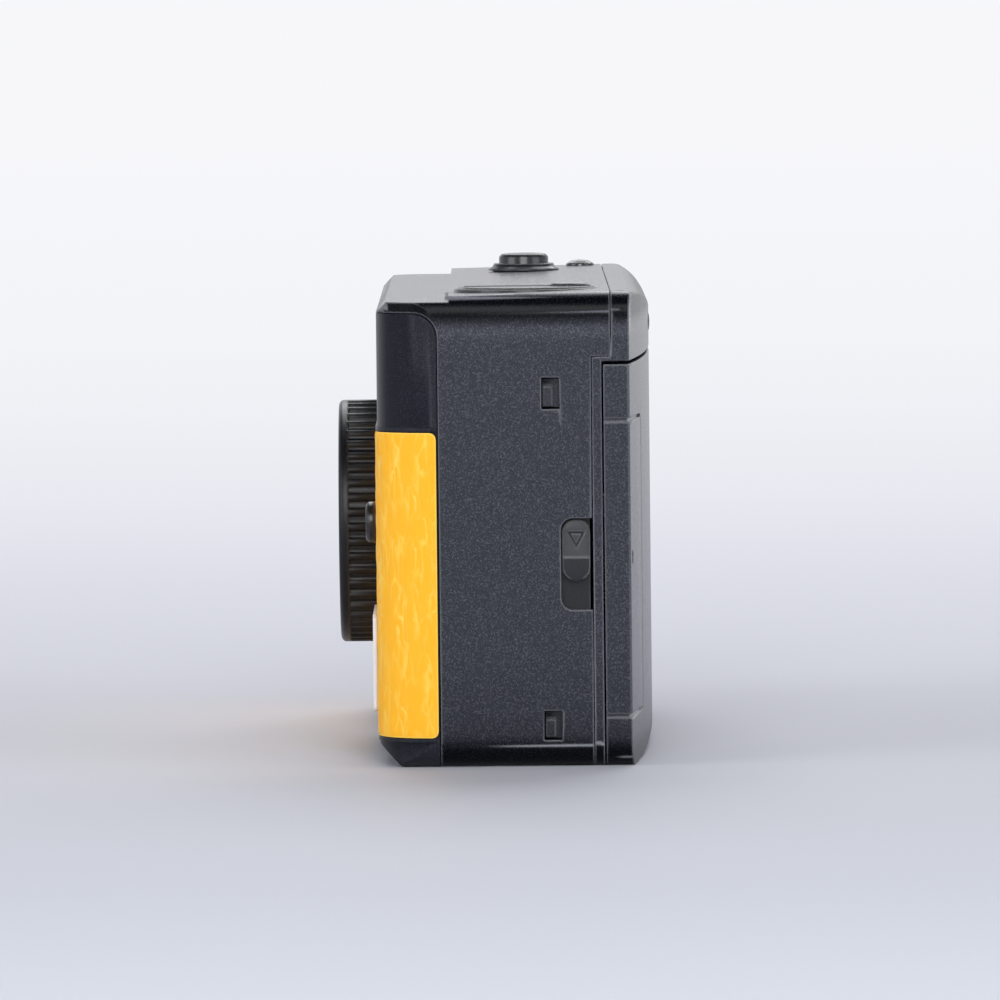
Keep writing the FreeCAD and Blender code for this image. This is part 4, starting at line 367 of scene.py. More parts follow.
def plastic(name, colour, rough, pitch, depth, painted_glints=0.0, spec=0.5, edge_highlight=0.35, rings=None, painted_light_levels=None):
    """Moulded plastic with the grain that its mould leaves, with painted glints in its grain, and paler
    along its edges as a painted highlight.
    Rings are turning marks in the mould: the axis, its centre in mm, and their pitch and depth in mm.
    Height stops in mm give a share of the tone and gloss for faces that don't look up, as painted shade and
    painted light; faces that look up are painted lighter."""
    mat, tree, shader = surface(name)
    place = on_object(tree)
    facing = add(tree, "ShaderNodeNewGeometry").outputs["True Normal"]
    grain = noise(tree, place, 1 / (pitch * MM), detail=3.0, rough=0.7)
    cloud = noise(tree, place, CLOUD_SCALE, detail=4.0)
    tone = mixed(tree, cloud, *[shade(colour, share) for share in CLOUD_TONES])
    # Light specks in the grain are painted glints.
    tone = mixed(tree, ranged(tree, grain, *GLINT_FROM, to_high=painted_glints), tone, shade(colour, *GLINT_TONE))
    # Painted light and shade: the tone and gloss are scaled by height, and faces that look up are painted
    # lighter.
    if painted_light_levels:
        painted_light_stops = [(z * MM, (*[share / 2] * 3, 1)) for z, share in painted_light_levels]
        painted_light_strength = reckoned(tree, "MULTIPLY", toned(tree, height_of(tree, place), painted_light_stops), 2.0)
        upward_painted_light = ranged(tree, height_of(tree, facing), *UPWARD_LIT_FROM, to_high=UPWARD_PAINTED_LIGHT)
        painted_light_strength = reckoned(tree, "MAXIMUM", painted_light_strength, upward_painted_light)
        tone = vectored(tree, "SCALE", {0: tone, "Scale": painted_light_strength})
        spec = reckoned(tree, "MULTIPLY", painted_light_strength, spec, clamped=True)
    # Painted highlights: the tone turns paler where the rounded edge shading turns away from the face.
    round_edge = add(tree, "ShaderNodeBevel", {"Radius": EDGE_HIGHLIGHT_R}, samples=4).outputs[0]
    along = vectored(tree, "DOT_PRODUCT", {0: round_edge, 1: facing}, give="Value")
    edge_highlight_share = ranged(tree, along, *EDGE_HIGHLIGHT_FROM, to_high=edge_highlight)
    normal = bumped(tree, grain, depth * MM, round_edge)
    if rings:
        axis, centre, ring_pitch, ring_depth = rings
        centred = add(tree, "ShaderNodeMapping", {"Vector": place, "Location": [-c * MM for c in centre]})
        sizes = {"Vector": centred.outputs[0], "Scale": RING_MARK_UNIT / (ring_pitch * MM)}
        marks = add(tree, "ShaderNodeTexWave", sizes, wave_type="RINGS", rings_direction=axis)
        normal = bumped(tree, marks.outputs["Fac"], ring_depth * MM, normal)
    sheen = ranged(tree, grain, 0.0, 1.0, max(0.05, rough - 0.10), min(1.0, rough + 0.10))
    feed(shader, {"Base Color": mixed(tree, edge_highlight_share, tone, shade(colour, *EDGE_HIGHLIGHT_TONE)), "Roughness": sheen,
                  "Specular IOR Level": spec, "Normal": normal})
    return mat


cover_plastic = plastic("smooth_black_plastic", linear(33, 34, 42), rough=0.32, pitch=0.20, depth=0.008,
                        painted_glints=0.25, spec=0.13, edge_highlight=0.0)
moulding("front_cover", "cover_moulding", "cover_black", cover_plastic, edge=0.15,
         long_only=True, crease=12)


# Leatherette
# A sheet of grained artificial leather in yellow, glued round the front from end to end.
# Its pebbled relief is embossed, its corners are cut round, and its edges stand a little out of the recess.
SHEET_HALF = 59.5
SHEET_FRONT = 28.0
SHEET_BEND_R = 8.0
SHEET_PROUD = 0.25
SHEET_THICK = 0.46
SHEET_LOW = 4.0
SHEET_TOP = 44.6
SHEET_END_Y = -20.15
SHEET_CORNER_R = 0.9
SHEET_GRID = 0.42
SHEET_RIM = 0.6
SHEET_RIM_DROP = 0.11
CUT_PROBE = 0.01
CUT_PASSES = 3
LENS_AXIS_Z = 29.8
RING_HOLE_R = 16.9
SWITCH_SLOT_X = 26.0
SWITCH_SLOT_LOW = 26.8
SWITCH_SLOT_TOP = 31.2
SWITCH_SLOT_R = 1.5
SHEET_LUMPS = ((9.5, 44.2, 4.5, 0.10), (6.5, 37.6, 4.0, 0.10), (3.0, 9.0, 5.0, 0.05),
               (60.0, 8.0, 9.0, 0.05))
GRAIN_SIZES = {"Pebbles per metre": 640.0, "Relief": 0.085 * MM, "Lean": math.radians(20),
               "Stretch": (1.3, 0.5, 1.0), "Seed": 3.0}
GRAIN_WANDER = 0.0016
WANDER_SCALE = 300.0
STREAK_SCALE = 420.0
CREASE_SCALE = 900.0
PORE_SCALE = 3600.0
STREAK_LEAN = math.radians(20)
STREAK_STRETCH = (1.1, 0.30, 1.0)
STREAK_DRIFT = 0.0030
LEATHER_DEEP = (253, 184, 42)
LEATHER_HIGHLIGHT = (255, 209, 88)
LEATHER_GLOSS = 0.14
LEATHER_RELIEF = 0.035 * MM
bend_r = SHEET_BEND_R + SHEET_PROUD
bend_x = SHEET_HALF - SHEET_BEND_R
bend_y = SHEET_BEND_R - SHEET_FRONT
start_turn = math.asin((bend_y - SHEET_END_Y) / bend_r)
bend_length = bend_r * (math.pi / 2 - start_turn)
sheet_length = 2 * bend_length + 2 * bend_x
sheet_height = SHEET_TOP - SHEET_LOW


def on_sheet(along, height):
    """Place on the wrapped sheet and the way out of it, from the flat sheet's own distances."""
    for side, reach in ((1, along), (-1, sheet_length - along)):
        if reach < bend_length:
            turn = start_turn + reach / bend_r
            out = Vector((side * math.cos(turn), -math.sin(turn), 0))
            return Vector((side * bend_x, bend_y, height)) + out * bend_r, out
    return Vector((bend_x + bend_length - along, -SHEET_FRONT - SHEET_PROUD, height)), Vector((0, -1, 0))


def from_cut(along, height):
    """Distance in from the nearest cut edge of the flat sheet, below zero outside it."""
    over_x = abs(along - sheet_length / 2) - sheet_length / 2 + SHEET_CORNER_R
    over_z = abs(height - (SHEET_LOW + SHEET_TOP) / 2) - sheet_height / 2 + SHEET_CORNER_R
    outline = SHEET_CORNER_R - math.hypot(max(over_x, 0), max(over_z, 0)) - min(max(over_x, over_z), 0)
    x = bend_x + bend_length - along
    ring = math.hypot(x, height - LENS_AXIS_Z) - RING_HOLE_R
    in_slot = min(max(height, SWITCH_SLOT_LOW), SWITCH_SLOT_TOP)
    slot = math.hypot(x - SWITCH_SLOT_X, height - in_slot) - SWITCH_SLOT_R
    return min(outline, ring, slot)


def as_mesh(name, form):
    """The form as a mesh."""
    mesh = bpy.data.meshes.new(name)
    form.to_mesh(mesh)
    form.free()
    return mesh


def cut_sheet():
    """The sheet cut to its outline, marked with its flat places, and bent round the cover."""
    columns = round(sheet_length / SHEET_GRID)
    rows = round(sheet_height / SHEET_GRID)
    flat = bmesh.new()
    spots = [[flat.verts.new((i * sheet_length / columns, SHEET_LOW + j * sheet_height / rows, 0))
              for j in range(rows + 1)] for i in range(columns + 1)]
    for i in range(columns):
        for j in range(rows):
            middle = (spots[i][j].co + spots[i + 1][j + 1].co) / 2
            if from_cut(middle.x, middle.y) > 0:
                flat.faces.new((spots[i][j], spots[i][j + 1], spots[i + 1][j + 1], spots[i + 1][j]))
    bmesh.ops.delete(flat, geom=[v for v in flat.verts if not v.link_faces], context="VERTS")
    for _ in range(CUT_PASSES):
        for vert in flat.verts:
            if vert.is_boundary:
                here = from_cut(vert.co.x, vert.co.y)
                slope = Vector((from_cut(vert.co.x + CUT_PROBE, vert.co.y) - here,
                                from_cut(vert.co.x, vert.co.y + CUT_PROBE) - here, 0))
                if slope.length > 0.4 * CUT_PROBE:
                    vert.co -= slope.normalized() * here
    cut_map = flat.loops.layers.uv.new("cut")
    for face in flat.faces:
        for loop in face.loops:
            loop[cut_map].uv = (loop.vert.co.x * MM, loop.vert.co.y * MM)
    rim = flat.verts.layers.float.new("rim")
    for vert in flat.verts:
        along, height = vert.co.x, vert.co.y
        inside = min(1.0, max(0.0, from_cut(along, height)) / SHEET_RIM)
        vert[rim] = inside
        lift = -SHEET_RIM_DROP * (1 - inside) ** 2
        for lump_x, lump_z, lump_r, lump_rise in SHEET_LUMPS:
            near = math.hypot(along - lump_x, height - lump_z) / lump_r
            lift += lump_rise * (1 - near ** 2) ** 2 if near < 1 else 0
        place, out = on_sheet(along, height)
        vert.co = (place + out * lift) * MM
    return placed("leatherette_sheet", as_mesh("leatherette_sheet", flat))


def tree_with(name, **sockets):
    """A node tree with geometry going in and out, and named sizes that go in."""
    tree = bpy.data.node_groups.new(name, "GeometryNodeTree")
    tree.interface.new_socket("Geometry", in_out="INPUT", socket_type="NodeSocketGeometry")
    for label, kind in sockets.items():
        tree.interface.new_socket(label.replace("_", " "), in_out="INPUT", socket_type="NodeSocket" + kind)
    tree.interface.new_socket("Geometry", in_out="OUTPUT", socket_type="NodeSocketGeometry")
    return tree, add(tree, "NodeGroupInput").outputs, add(tree, "NodeGroupOutput")


def given_finish(tree, given, result, *parts):
    """Ends the tree: the parts that it makes become real geometry, all of one finish."""
    joined = add(tree, "GeometryNodeJoinGeometry")
    for part in parts:
        feed(joined, {0: part})
    real = add(tree, "GeometryNodeRealizeInstances", {0: joined.outputs[0]})
    finish = add(tree, "GeometryNodeSetMaterial", {0: real.outputs[0], "Material": given["Finish"]})
    feed(result, {"Geometry": finish.outputs[0]})
    return tree


def shaped_by(draft, tree, sizes):
    """Puts the tree on the draft with its sizes, by the sockets' identifiers."""
    shaping = draft.modifiers.new(tree.name, "NODES")
    shaping.node_group = tree
    for socket in tree.interface.items_tree:
        if socket.in_out == "INPUT" and socket.name in sizes:
            shaping[socket.identifier] = sizes[socket.name]


def grain_tree():
    """Raises a field of leaning, rounded pebbles on the sheet, which fades out at its rim."""
    tree, given, result = tree_with("embossed_grain", Pebbles_per_metre="Float", Relief="Float",
                                    Lean="Float", Stretch="Vector", Seed="Float", Finish="Material")
    cut, rim = [add(tree, "GeometryNodeInputNamedAttribute", {"Name": name}, data_type=kind)
                .outputs["Attribute"] for name, kind in (("cut", "FLOAT_VECTOR"), ("rim", "FLOAT"))]
    wander = noise(tree, cut, WANDER_SCALE, give="Color")
    place = vectored(tree, "MULTIPLY_ADD", {0: wander, 1: (GRAIN_WANDER, GRAIN_WANDER, 0.0), 2: cut})
    place = add(tree, "ShaderNodeVectorRotate", {"Vector": place, "Angle": given["Lean"]},
                rotation_type="Z_AXIS").outputs[0]
    place = vectored(tree, "MULTIPLY", {0: place, 1: given["Stretch"]})
    sizes = {"Vector": place, "Scale": given["Pebbles per metre"], "W": given["Seed"], "Smoothness": 0.35}
    cells = add(tree, "ShaderNodeTexVoronoi", sizes, voronoi_dimensions="4D", feature="SMOOTH_F1")
    cells = cells.outputs["Distance"]
    dome = ranged(tree, cells, 0.75, 0.10, way="SMOOTHSTEP")
    height = reckoned(tree, "MULTIPLY", reckoned(tree, "MULTIPLY", dome, rim), given["Relief"])
    out = add(tree, "GeometryNodeInputNormal").outputs[0]
    push = vectored(tree, "SCALE", {0: out, "Scale": height})
    raised = add(tree, "GeometryNodeSetPosition", {"Geometry": given["Geometry"], "Offset": push})
    return given_finish(tree, given, result, raised.outputs[0])


def leatherette():
    """Yellow artificial leather with leaning streaks along its creases; painted highlights make the creases
    and the cut edge paler.
    """
    mat, tree, shader = surface("yellow_leatherette")
    flat = add(tree, "ShaderNodeUVMap", uv_map="cut").outputs[0]
    leaning = add(tree, "ShaderNodeMapping", {"Vector": flat, "Rotation": (0, 0, STREAK_LEAN),
                                              "Scale": STREAK_STRETCH}).outputs[0]
    streaks = add(tree, "ShaderNodeTexNoise", {"Vector": leaning, "Scale": STREAK_SCALE, "Detail": 3.0,
                                               "Roughness": 0.55}).outputs
    drifting = vectored(tree, "MULTIPLY_ADD", {0: streaks["Color"], 1: (STREAK_DRIFT, STREAK_DRIFT, 0.0),
                                               2: leaning})
    cells = add(tree, "ShaderNodeTexVoronoi", {"Vector": drifting, "Scale": CREASE_SCALE},
                feature="DISTANCE_TO_EDGE").outputs["Distance"]
    ridge = ranged(tree, cells, 0.17, 0.0, way="SMOOTHSTEP")
    # Painted highlights: the crease ridges and the cut edge turn to the paler yellow.
    crease_highlight = reckoned(tree, "MULTIPLY", ridge, ranged(tree, streaks["Fac"], 0.42, 0.64))
    rim = add(tree, "ShaderNodeAttribute", attribute_name="rim").outputs["Fac"]
    highlight_share = reckoned(tree, "MAXIMUM", crease_highlight, ranged(tree, rim, 0.5, 0.1, to_high=0.75))
    pores = noise(tree, flat, PORE_SCALE)
    relief = reckoned(tree, "MULTIPLY_ADD", pores, 0.25, ranged(tree, cells, 0.0, 0.22))
    relief = reckoned(tree, "MULTIPLY_ADD", streaks["Fac"], 1.1, relief)
    feed(shader, {"Base Color": mixed(tree, highlight_share, linear(*LEATHER_DEEP), linear(*LEATHER_HIGHLIGHT)),
                  "Roughness": ranged(tree, streaks["Fac"], 0.0, 1.0, 0.58, 0.40),
                  "Specular IOR Level": LEATHER_GLOSS, "Normal": bumped(tree, relief, LEATHER_RELIEF)})
    return mat


sheet_draft = cut_sheet()
leather = leatherette()
shaped_by(sheet_draft, grain_tree(), {**GRAIN_SIZES, "Finish": leather})
backing = sheet_draft.modifiers.new("thickness", "SOLIDIFY")
backing.thickness = SHEET_THICK * MM
backing.offset = -1
finished(sheet_draft, "leatherette_sheet", "yellow_skin", leather, "leatherette_wrap", turn=60)


# Middle and rear mouldings, and the back door
# Black plastic with a coarse, slightly sparkling spark-eroded grain, its sparkle painted as light glints.
# The halves are snapped together at the ends and screwed from below, and the door hangs on a steel pin.
# Painted shade darkens the shell towards its bottom edge and over its top rounding, with a painted light
# band just below that rounding.
SHELL_PAINTED_LIGHT = ((0.0, 0.15), (2.2, 0.18), (3.2, 0.38), (4.4, 0.70), (7.0, 0.85), (16.0, 1.0), (56.6, 1.0),
                (57.8, 1.3), (58.4, 1.2), (58.9, 0.8), (59.5, 0.4), (60.0, 0.18), (62.3, 0.18), (62.9, 1.0))
shell_plastic = plastic("grained_black_plastic", linear(14, 19, 33), rough=0.26, pitch=0.20, depth=0.015,
                        painted_glints=0.75, edge_highlight=0.9, painted_light_levels=SHELL_PAINTED_LIGHT)
for node, name, body in (("middle_shell", "middle_moulding", "camera_body"),
                         ("rear_frame", "rear_moulding", "camera_body"),
                         ("back_door", "door_moulding", "back_door")):
    moulding(node, name, "shell_black", shell_plastic, edge=0.2, body=body, long_only=True, flats=True)
moulding("battery_door", "battery_flap", "shell_black", shell_plastic, edge=0.08, body="battery_door")


# Film chassis
# Matt black mouldings inside the body: gate plate and rails, floor, film chambers, cell case and light box.
# They are blackened so that no stray light reaches the film.
chassis_plastic = plastic("matt_black_moulding", linear(24, 24, 26), rough=0.62, pitch=0.25, depth=0.010,
                          painted_glints=0.10, spec=0.35)
for node in ("film_chassis", "chassis_floor", "cartridge_chamber_wall", "take_up_chamber_wall",
             "battery_bay_case", "light_box"):
    moulding(node, node + "_moulding", "chassis_black", chassis_plastic, edge=0.06)


# Lens ring
# A satin black grip ring, moulded in one, with a smooth band in front of fifty round-topped ribs.
# It is glued to the boss of the front cover, so it does not turn.
RING_R = 16.7
RING_ROOT_R = 16.1
RING_FRONT_Y = -33.8
RING_BAND_Y = -32.5
RING_BACK_Y = -28.0
RING_BORE_R = 12.4
RING_RIBS = 50
RING_STEPS = 200
RING_LIP = ((0.65, 0.0), (0.40, 0.07), (0.18, 0.26), (0.04, 0.55), (0.0, 0.85))
RING_MOUTH = ((0.0, 13.25), (0.12, 12.9), (0.7, RING_BORE_R))
RIB_OUTLINE = ((-0.2, -0.66), (0.02, -0.64), (0.34, -0.50), (0.52, -0.32), (0.59, -0.10), (0.59, 0.10),
               (0.52, 0.32), (0.34, 0.50), (0.02, 0.64), (-0.2, 0.66))
RIB_STATIONS = ((-0.05, 0.0), (3.8, 0.0), (4.0, 0.12), (4.1, 0.4))
ON_AXIS = 0.00001


def walled(form, loops, *ends):
    """Adds the faces between each loop of points and the next, and over the ends."""
    for here, there in zip(loops, loops[1:]):
        for j in range(len(here)):
            k = (j + 1) % len(here)
            form.faces.new((here[j], here[k], there[k], there[j]))
    for end in ends:
        form.faces.new(end)
    bmesh.ops.recalc_face_normals(form, faces=form.faces)


def turned(name, centre_x, centre_z, profile, steps):
    """A closed turned form about an axis along Y, from (place along it, radius) points in mm."""
    form = bmesh.new()
    loops = []
    for i in range(steps):
        turn = 2 * math.pi * i / steps
        loops.append([form.verts.new([c * MM for c in (centre_x + radius * math.cos(turn), along,
                                                       centre_z + radius * math.sin(turn))])
                      for along, radius in profile])
    walled(form, loops + loops[:1])
    return placed(name, as_mesh(name, form))


def prism_between(name, sections):
    """A closed bar through equal-sided sections, given as lists of points in mm."""
    bar = bmesh.new()
    loops = [[bar.verts.new([c * MM for c in p]) for p in section] for section in sections]
    walled(bar, loops, loops[0], loops[-1])
    return bpy.data.objects.new(name, as_mesh(name, bar))


def copied(tree, given, points, **place):
    """Copies of the given shape at the points."""
    shape = add(tree, "GeometryNodeObjectInfo", {"Object": given["Copy"]}).outputs["Geometry"]
    spread = add(tree, "GeometryNodeInstanceOnPoints", {"Points": points, "Instance": shape, **place})
    return spread.outputs[0]


def round_row_tree():
    """Copies a shape round an axis, adds what comes in, and gives all of it one finish."""
    tree, given, result = tree_with("row_round_an_axis", Copy="Object", Count="Int", Radius="Float",
                                    Centre="Vector", Turn="Rotation", Finish="Material")
    circle = add(tree, "GeometryNodeMeshCircle", {"Vertices": given["Count"], "Radius": given["Radius"]})
    here = add(tree, "GeometryNodeInputPosition").outputs[0]
    split = add(tree, "ShaderNodeSeparateXYZ", {0: here}).outputs
    bearing = reckoned(tree, "ARCTAN2", split["Y"], split["X"])
    facing = add(tree, "FunctionNodeAxisAngleToRotation", {"Axis": (0, 0, 1), "Angle": bearing}).outputs[0]
    spread = copied(tree, given, circle.outputs["Mesh"], Rotation=facing)
    laid = add(tree, "GeometryNodeTransform", {"Geometry": spread, "Translation": given["Centre"],
                                               "Rotation": given["Turn"]})
    return given_finish(tree, given, result, laid.outputs[0], given["Geometry"])


def row_of(copy, tree, draft, name, slot, material, *stands_for, body="camera_body", **sizes):
    """Makes a piece from copies of a shape that the tree lays out on the draft."""
    shaped_by(draft, tree, {"Copy": copy, "Finish": material, **sizes})
    piece = finished(draft, name, slot, material, *stands_for, body=body)
    bpy.data.objects.remove(copy)
    return piece


row_round = round_row_tree()
ring_plastic = plastic("satin_black_grip", linear(8, 9, 16), rough=0.34, pitch=0.22, depth=0.004,
                       painted_glints=0.15, spec=0.34, edge_highlight=0.3, rings=("Y", (0, 0, LENS_AXIS_Z), 0.22, 0.004))
ring_profile = [(RING_BACK_Y, RING_BORE_R), (RING_BACK_Y, RING_ROOT_R), (RING_BAND_Y, RING_ROOT_R),
                (RING_BAND_Y, RING_R)]
ring_profile += [(RING_FRONT_Y + along, RING_R - down) for along, down in RING_LIP]
ring_profile += [(RING_FRONT_Y + along, radius) for along, radius in RING_MOUTH]
ring_draft = turned("grip_ring", 0, LENS_AXIS_Z, ring_profile, RING_STEPS)
rib = prism_between("grip_rib", [[(RING_ROOT_R + max(-0.2, out - sunk), across * (1 - 0.25 * sunk),
                                   -(RING_BAND_Y + along)) for out, across in RIB_OUTLINE]
                                 for along, sunk in RIB_STATIONS])
row_of(rib, row_round, ring_draft, "grip_ring", "lens_black", ring_plastic, "lens_ring", Count=RING_RIBS,
       Radius=ON_AXIS, Centre=(0, 0, LENS_AXIS_Z * MM), Turn=(math.pi / 2, 0, 0))


# Lens, its baffle, and the shutter
# A stepped matt baffle leads in to the front element, which a black barrel holds with the rear one.
# Behind them lie the aperture plate, the blackened shutter plate on its posts, and the thin steel blade.
METAL_CLOUD_SCALE = 180.0
GLASS_WAVE_SCALE = 260.0
GLASS_HAZE_SCALE = 1400.0
GLASS_IOR = 1.5
COAT_SHARE = 0.6
COAT_ROUGH = 0.03


def metal(name, colour, rough, pitch, depth, stretch=(1, 1, 1)):
    """Bare or plated metal with fine rolling or turning marks and a cloudy tone."""
    mat, tree, shader = surface(name)
    place = on_object(tree)
    along = add(tree, "ShaderNodeMapping", {"Vector": place, "Scale": stretch}).outputs[0]
    marks = noise(tree, along, 1 / (pitch * MM), detail=4.0)
    cloud = noise(tree, place, METAL_CLOUD_SCALE)
    feed(shader, {"Metallic": 1.0, "Base Color": mixed(tree, cloud, shade(colour, 0.8), shade(colour, 1.1)),
                  "Roughness": ranged(tree, marks, 0.0, 1.0, max(0.04, rough - 0.08), rough + 0.12),
                  "Normal": bumped(tree, marks, depth * MM)})
    return mat


def clear(name, colour, rough, waviness, coated=None):
    """Glass or clear plastic with a slightly wavy face, and a coating's tint where it has one."""
    mat, tree, shader = surface(name)
    place = on_object(tree)
    wave = noise(tree, place, GLASS_WAVE_SCALE)
    haze = noise(tree, place, GLASS_HAZE_SCALE, detail=4.0)
    feed(shader, {"Transmission Weight": 1.0, "IOR": GLASS_IOR,
                  "Base Color": mixed(tree, haze, colour, shade(colour, 0.93)),
                  "Roughness": ranged(tree, haze, 0.45, 0.75, rough, rough + 0.10),
                  "Normal": bumped(tree, wave, waviness * MM)})
    if coated:
        feed(shader, {"Coat Weight": COAT_SHARE, "Coat Roughness": COAT_ROUGH, "Coat Tint": coated})
    return mat


baffle_plastic = plastic("ridged_black_baffle", linear(20, 20, 22), rough=0.55, pitch=0.25, depth=0.004,
                         spec=0.4, rings=("Y", (0, 0, LENS_AXIS_Z), 0.30, 0.02))
barrel_plastic = plastic("satin_black_barrel", linear(22, 22, 24), rough=0.38, pitch=0.25, depth=0.003,
                         rings=("Y", (0, 0, LENS_AXIS_Z), 0.5, 0.01))
lens_glass = clear("coated_lens_glass", (0.97, 0.98, 0.97, 1), rough=0.01, waviness=0.0004,
                   coated=(0.55, 0.62, 1.0, 1))
blackened_plate = metal("blackened_steel_plate", linear(60, 60, 64), rough=0.45, pitch=0.4, depth=0.002,
                        stretch=(1, 1, 6))
blade_steel = metal("thin_blade_steel", linear(120, 122, 128), rough=0.30, pitch=0.5, depth=0.002,
                    stretch=(1, 1, 8))
mouldings(
    ("lens_bezel", "lens_baffle", "gloss_black", baffle_plastic, 0.05),
    ("lens_barrel", "lens_tube", "lens_black", barrel_plastic, 0.05),
    ("front_lens_element", "front_glass", "lens_glass", lens_glass, 0.0),
    ("rear_lens_element", "rear_glass", "lens_glass", lens_glass, 0.0),
    ("aperture_plate", "stop_plate", "chassis_black", blackened_plate, 0.03),
    ("shutter_plate", "shutter_mount", "chassis_black", blackened_plate, 0.05),
    ("shutter_blade", "shutter_leaf", "steel", blade_steel, 0.02, "shutter_blade"))


# White plate
# A thin plate of satin white plastic, cut with round corners and stuck flat on the leatherette.
# It is bare, with softly rounded edges.
white_plastic = plastic("satin_white_plastic", linear(226, 227, 230), rough=0.32, pitch=0.4, depth=0.003,
                        edge_highlight=0.0)
moulding("white_plate", "white_badge_plate", "white_plastic", white_plastic, edge=0.12)


# Flash
# A clear window with moulded prism ribs on its inside, in front of a polished reflector and a glass tube.
# Its capacitor stands in the body, and its board and transformer stand on the cell case.
PRISM_PITCH = 1.0
PRISM_HALF = 0.46
PRISM_DEEP = 0.42
PRISM_GAP = 0.02
PRISM_MARGIN_X = 4
PRISM_MARGIN_Z = 3.0
BOARD_MASK = (20, 74, 44)
BOARD_MASK_PALE = (26, 92, 54)
BOARD_TRACK = (86, 118, 62)
BOARD_TRACK_SCALE = 320.0
BOARD_TRACK_WIDTH = 0.03


def straight_row_tree():
    """Copies a shape along a straight row, adds what comes in, and gives all of it one finish."""
    tree, given, result = tree_with("straight_row", Copy="Object", Count="Int", Start="Vector",
                                    Step="Vector", Finish="Material")
    line = add(tree, "GeometryNodeMeshLine", {"Count": given["Count"], "Start Location": given["Start"],
                                              "Offset": given["Step"]})
    return given_finish(tree, given, result, copied(tree, given, line.outputs["Mesh"]), given["Geometry"])


window_plastic = clear("clear_window_plastic", (0.96, 0.97, 0.98, 1), rough=0.03, waviness=0.001)
moulding("flash_window", "flash_pane", "clear_plastic", window_plastic, edge=0.12)
flash_low, flash_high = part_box("flash_window")
flash_mid = (flash_low + flash_high) / 2
prism_height = (flash_high.z - flash_low.z) / MM - PRISM_MARGIN_Z
prism_count = int((flash_high.x - flash_low.x) / MM - PRISM_MARGIN_X)
prism_start = flash_mid.x - (prism_count - 1) / 2 * PRISM_PITCH * MM
prism = prism_between("prism_rib", [[(-PRISM_HALF, 0.0, z), (PRISM_HALF, 0.0, z), (0.0, PRISM_DEEP, z)]
                                    for z in (-prism_height / 2, prism_height / 2)])
prism_draft = placed("flash_prisms", bpy.data.meshes.new("flash_prisms"))
row_of(prism, straight_row_tree(), prism_draft, "flash_prisms", "clear_plastic", window_plastic,
       Count=prism_count, Step=(PRISM_PITCH * MM, 0, 0),
       Start=(prism_start, flash_high.y + PRISM_GAP * MM, flash_mid.z))
mirror_metal = metal("polished_reflector", linear(225, 226, 230), rough=0.10, pitch=0.8, depth=0.001,
                     stretch=(0.2, 1, 1))
tube_glass = clear("flash_tube_glass", (0.93, 0.95, 0.96, 1), rough=0.05, waviness=0.001)
can_sleeve = plastic("capacitor_sleeve", linear(26, 27, 40), rough=0.25, pitch=0.6, depth=0.002, edge_highlight=0.1)
ferrite = plastic("ferrite_and_tape", linear(62, 58, 56), rough=0.60, pitch=0.12, depth=0.008, painted_glints=0.4,
                  spec=0.3)
mouldings(
    ("flash_reflector", "flash_mirror", "mirror_metal", mirror_metal, 0.03),
    ("flash_tube", "flash_glass", "lens_glass", tube_glass, 0.15),
    ("flash_capacitor", "capacitor_can", "can_sleeve", can_sleeve, 0.12),
    ("flash_transformer", "transformer_core", "ferrite", ferrite, 0.12))

board_green = plastic("green_solder_mask", linear(*BOARD_MASK), rough=0.30, pitch=0.3, depth=0.002,
                      edge_highlight=0.2)
board_tree = board_green.node_tree
board_turn = add(board_tree, "ShaderNodeMapping", {"Vector": on_object(board_tree),
                                                   "Rotation": (0, math.pi / 2, 0)})
tracks = add(board_tree, "ShaderNodeTexBrick", {
    "Vector": board_turn.outputs[0], "Scale": BOARD_TRACK_SCALE, "Color1": linear(*BOARD_MASK),
    "Color2": linear(*BOARD_MASK_PALE), "Mortar": linear(*BOARD_TRACK), "Mortar Size": BOARD_TRACK_WIDTH})
feed(board_tree.nodes["Principled BSDF"], {"Base Color": tracks.outputs["Color"]})
moulding("flash_circuit_board", "flash_board", "board_green", board_green, edge=0.03)


# Finder, ready lamp and frame counter
# Clear moulded windows glued into the covers, a black tunnel between the finder's two, and a red lamp lens.
# Under its domed window the counter's white disc carries plain numbers and a tick for each frame.
DIAL_NUMBERS = 10
DIAL_FRAMES = 40
NUMBER_SIZE = 1.5
NUMBER_RISE = 0.015
NUMBER_R = 3.35
TICK_IN_R = 4.35
TICK_OUT_R = 4.95
TICK_HALF = 0.06
TICK_RISE = 0.03
finder_glass = clear("finder_window_plastic", (0.93, 0.95, 0.97, 1), rough=0.02, waviness=0.0008)
lamp_red = clear("red_lamp_plastic", (0.80, 0.06, 0.04, 1), rough=0.12, waviness=0.001)
mouldings(
    ("viewfinder_front_lens", "finder_front_window", "clear_plastic", finder_glass, 0.08),
    ("viewfinder_eyepiece", "finder_rear_window", "clear_plastic", finder_glass, 0.08),
    ("viewfinder_tunnel", "finder_tunnel_box", "chassis_black", chassis_plastic, 0.05),
    ("counter_window", "counter_dome", "clear_plastic", window_plastic, 0.06),
    ("flash_ready_lamp", "ready_lamp_lens", "lamp_red", lamp_red, 0.05))

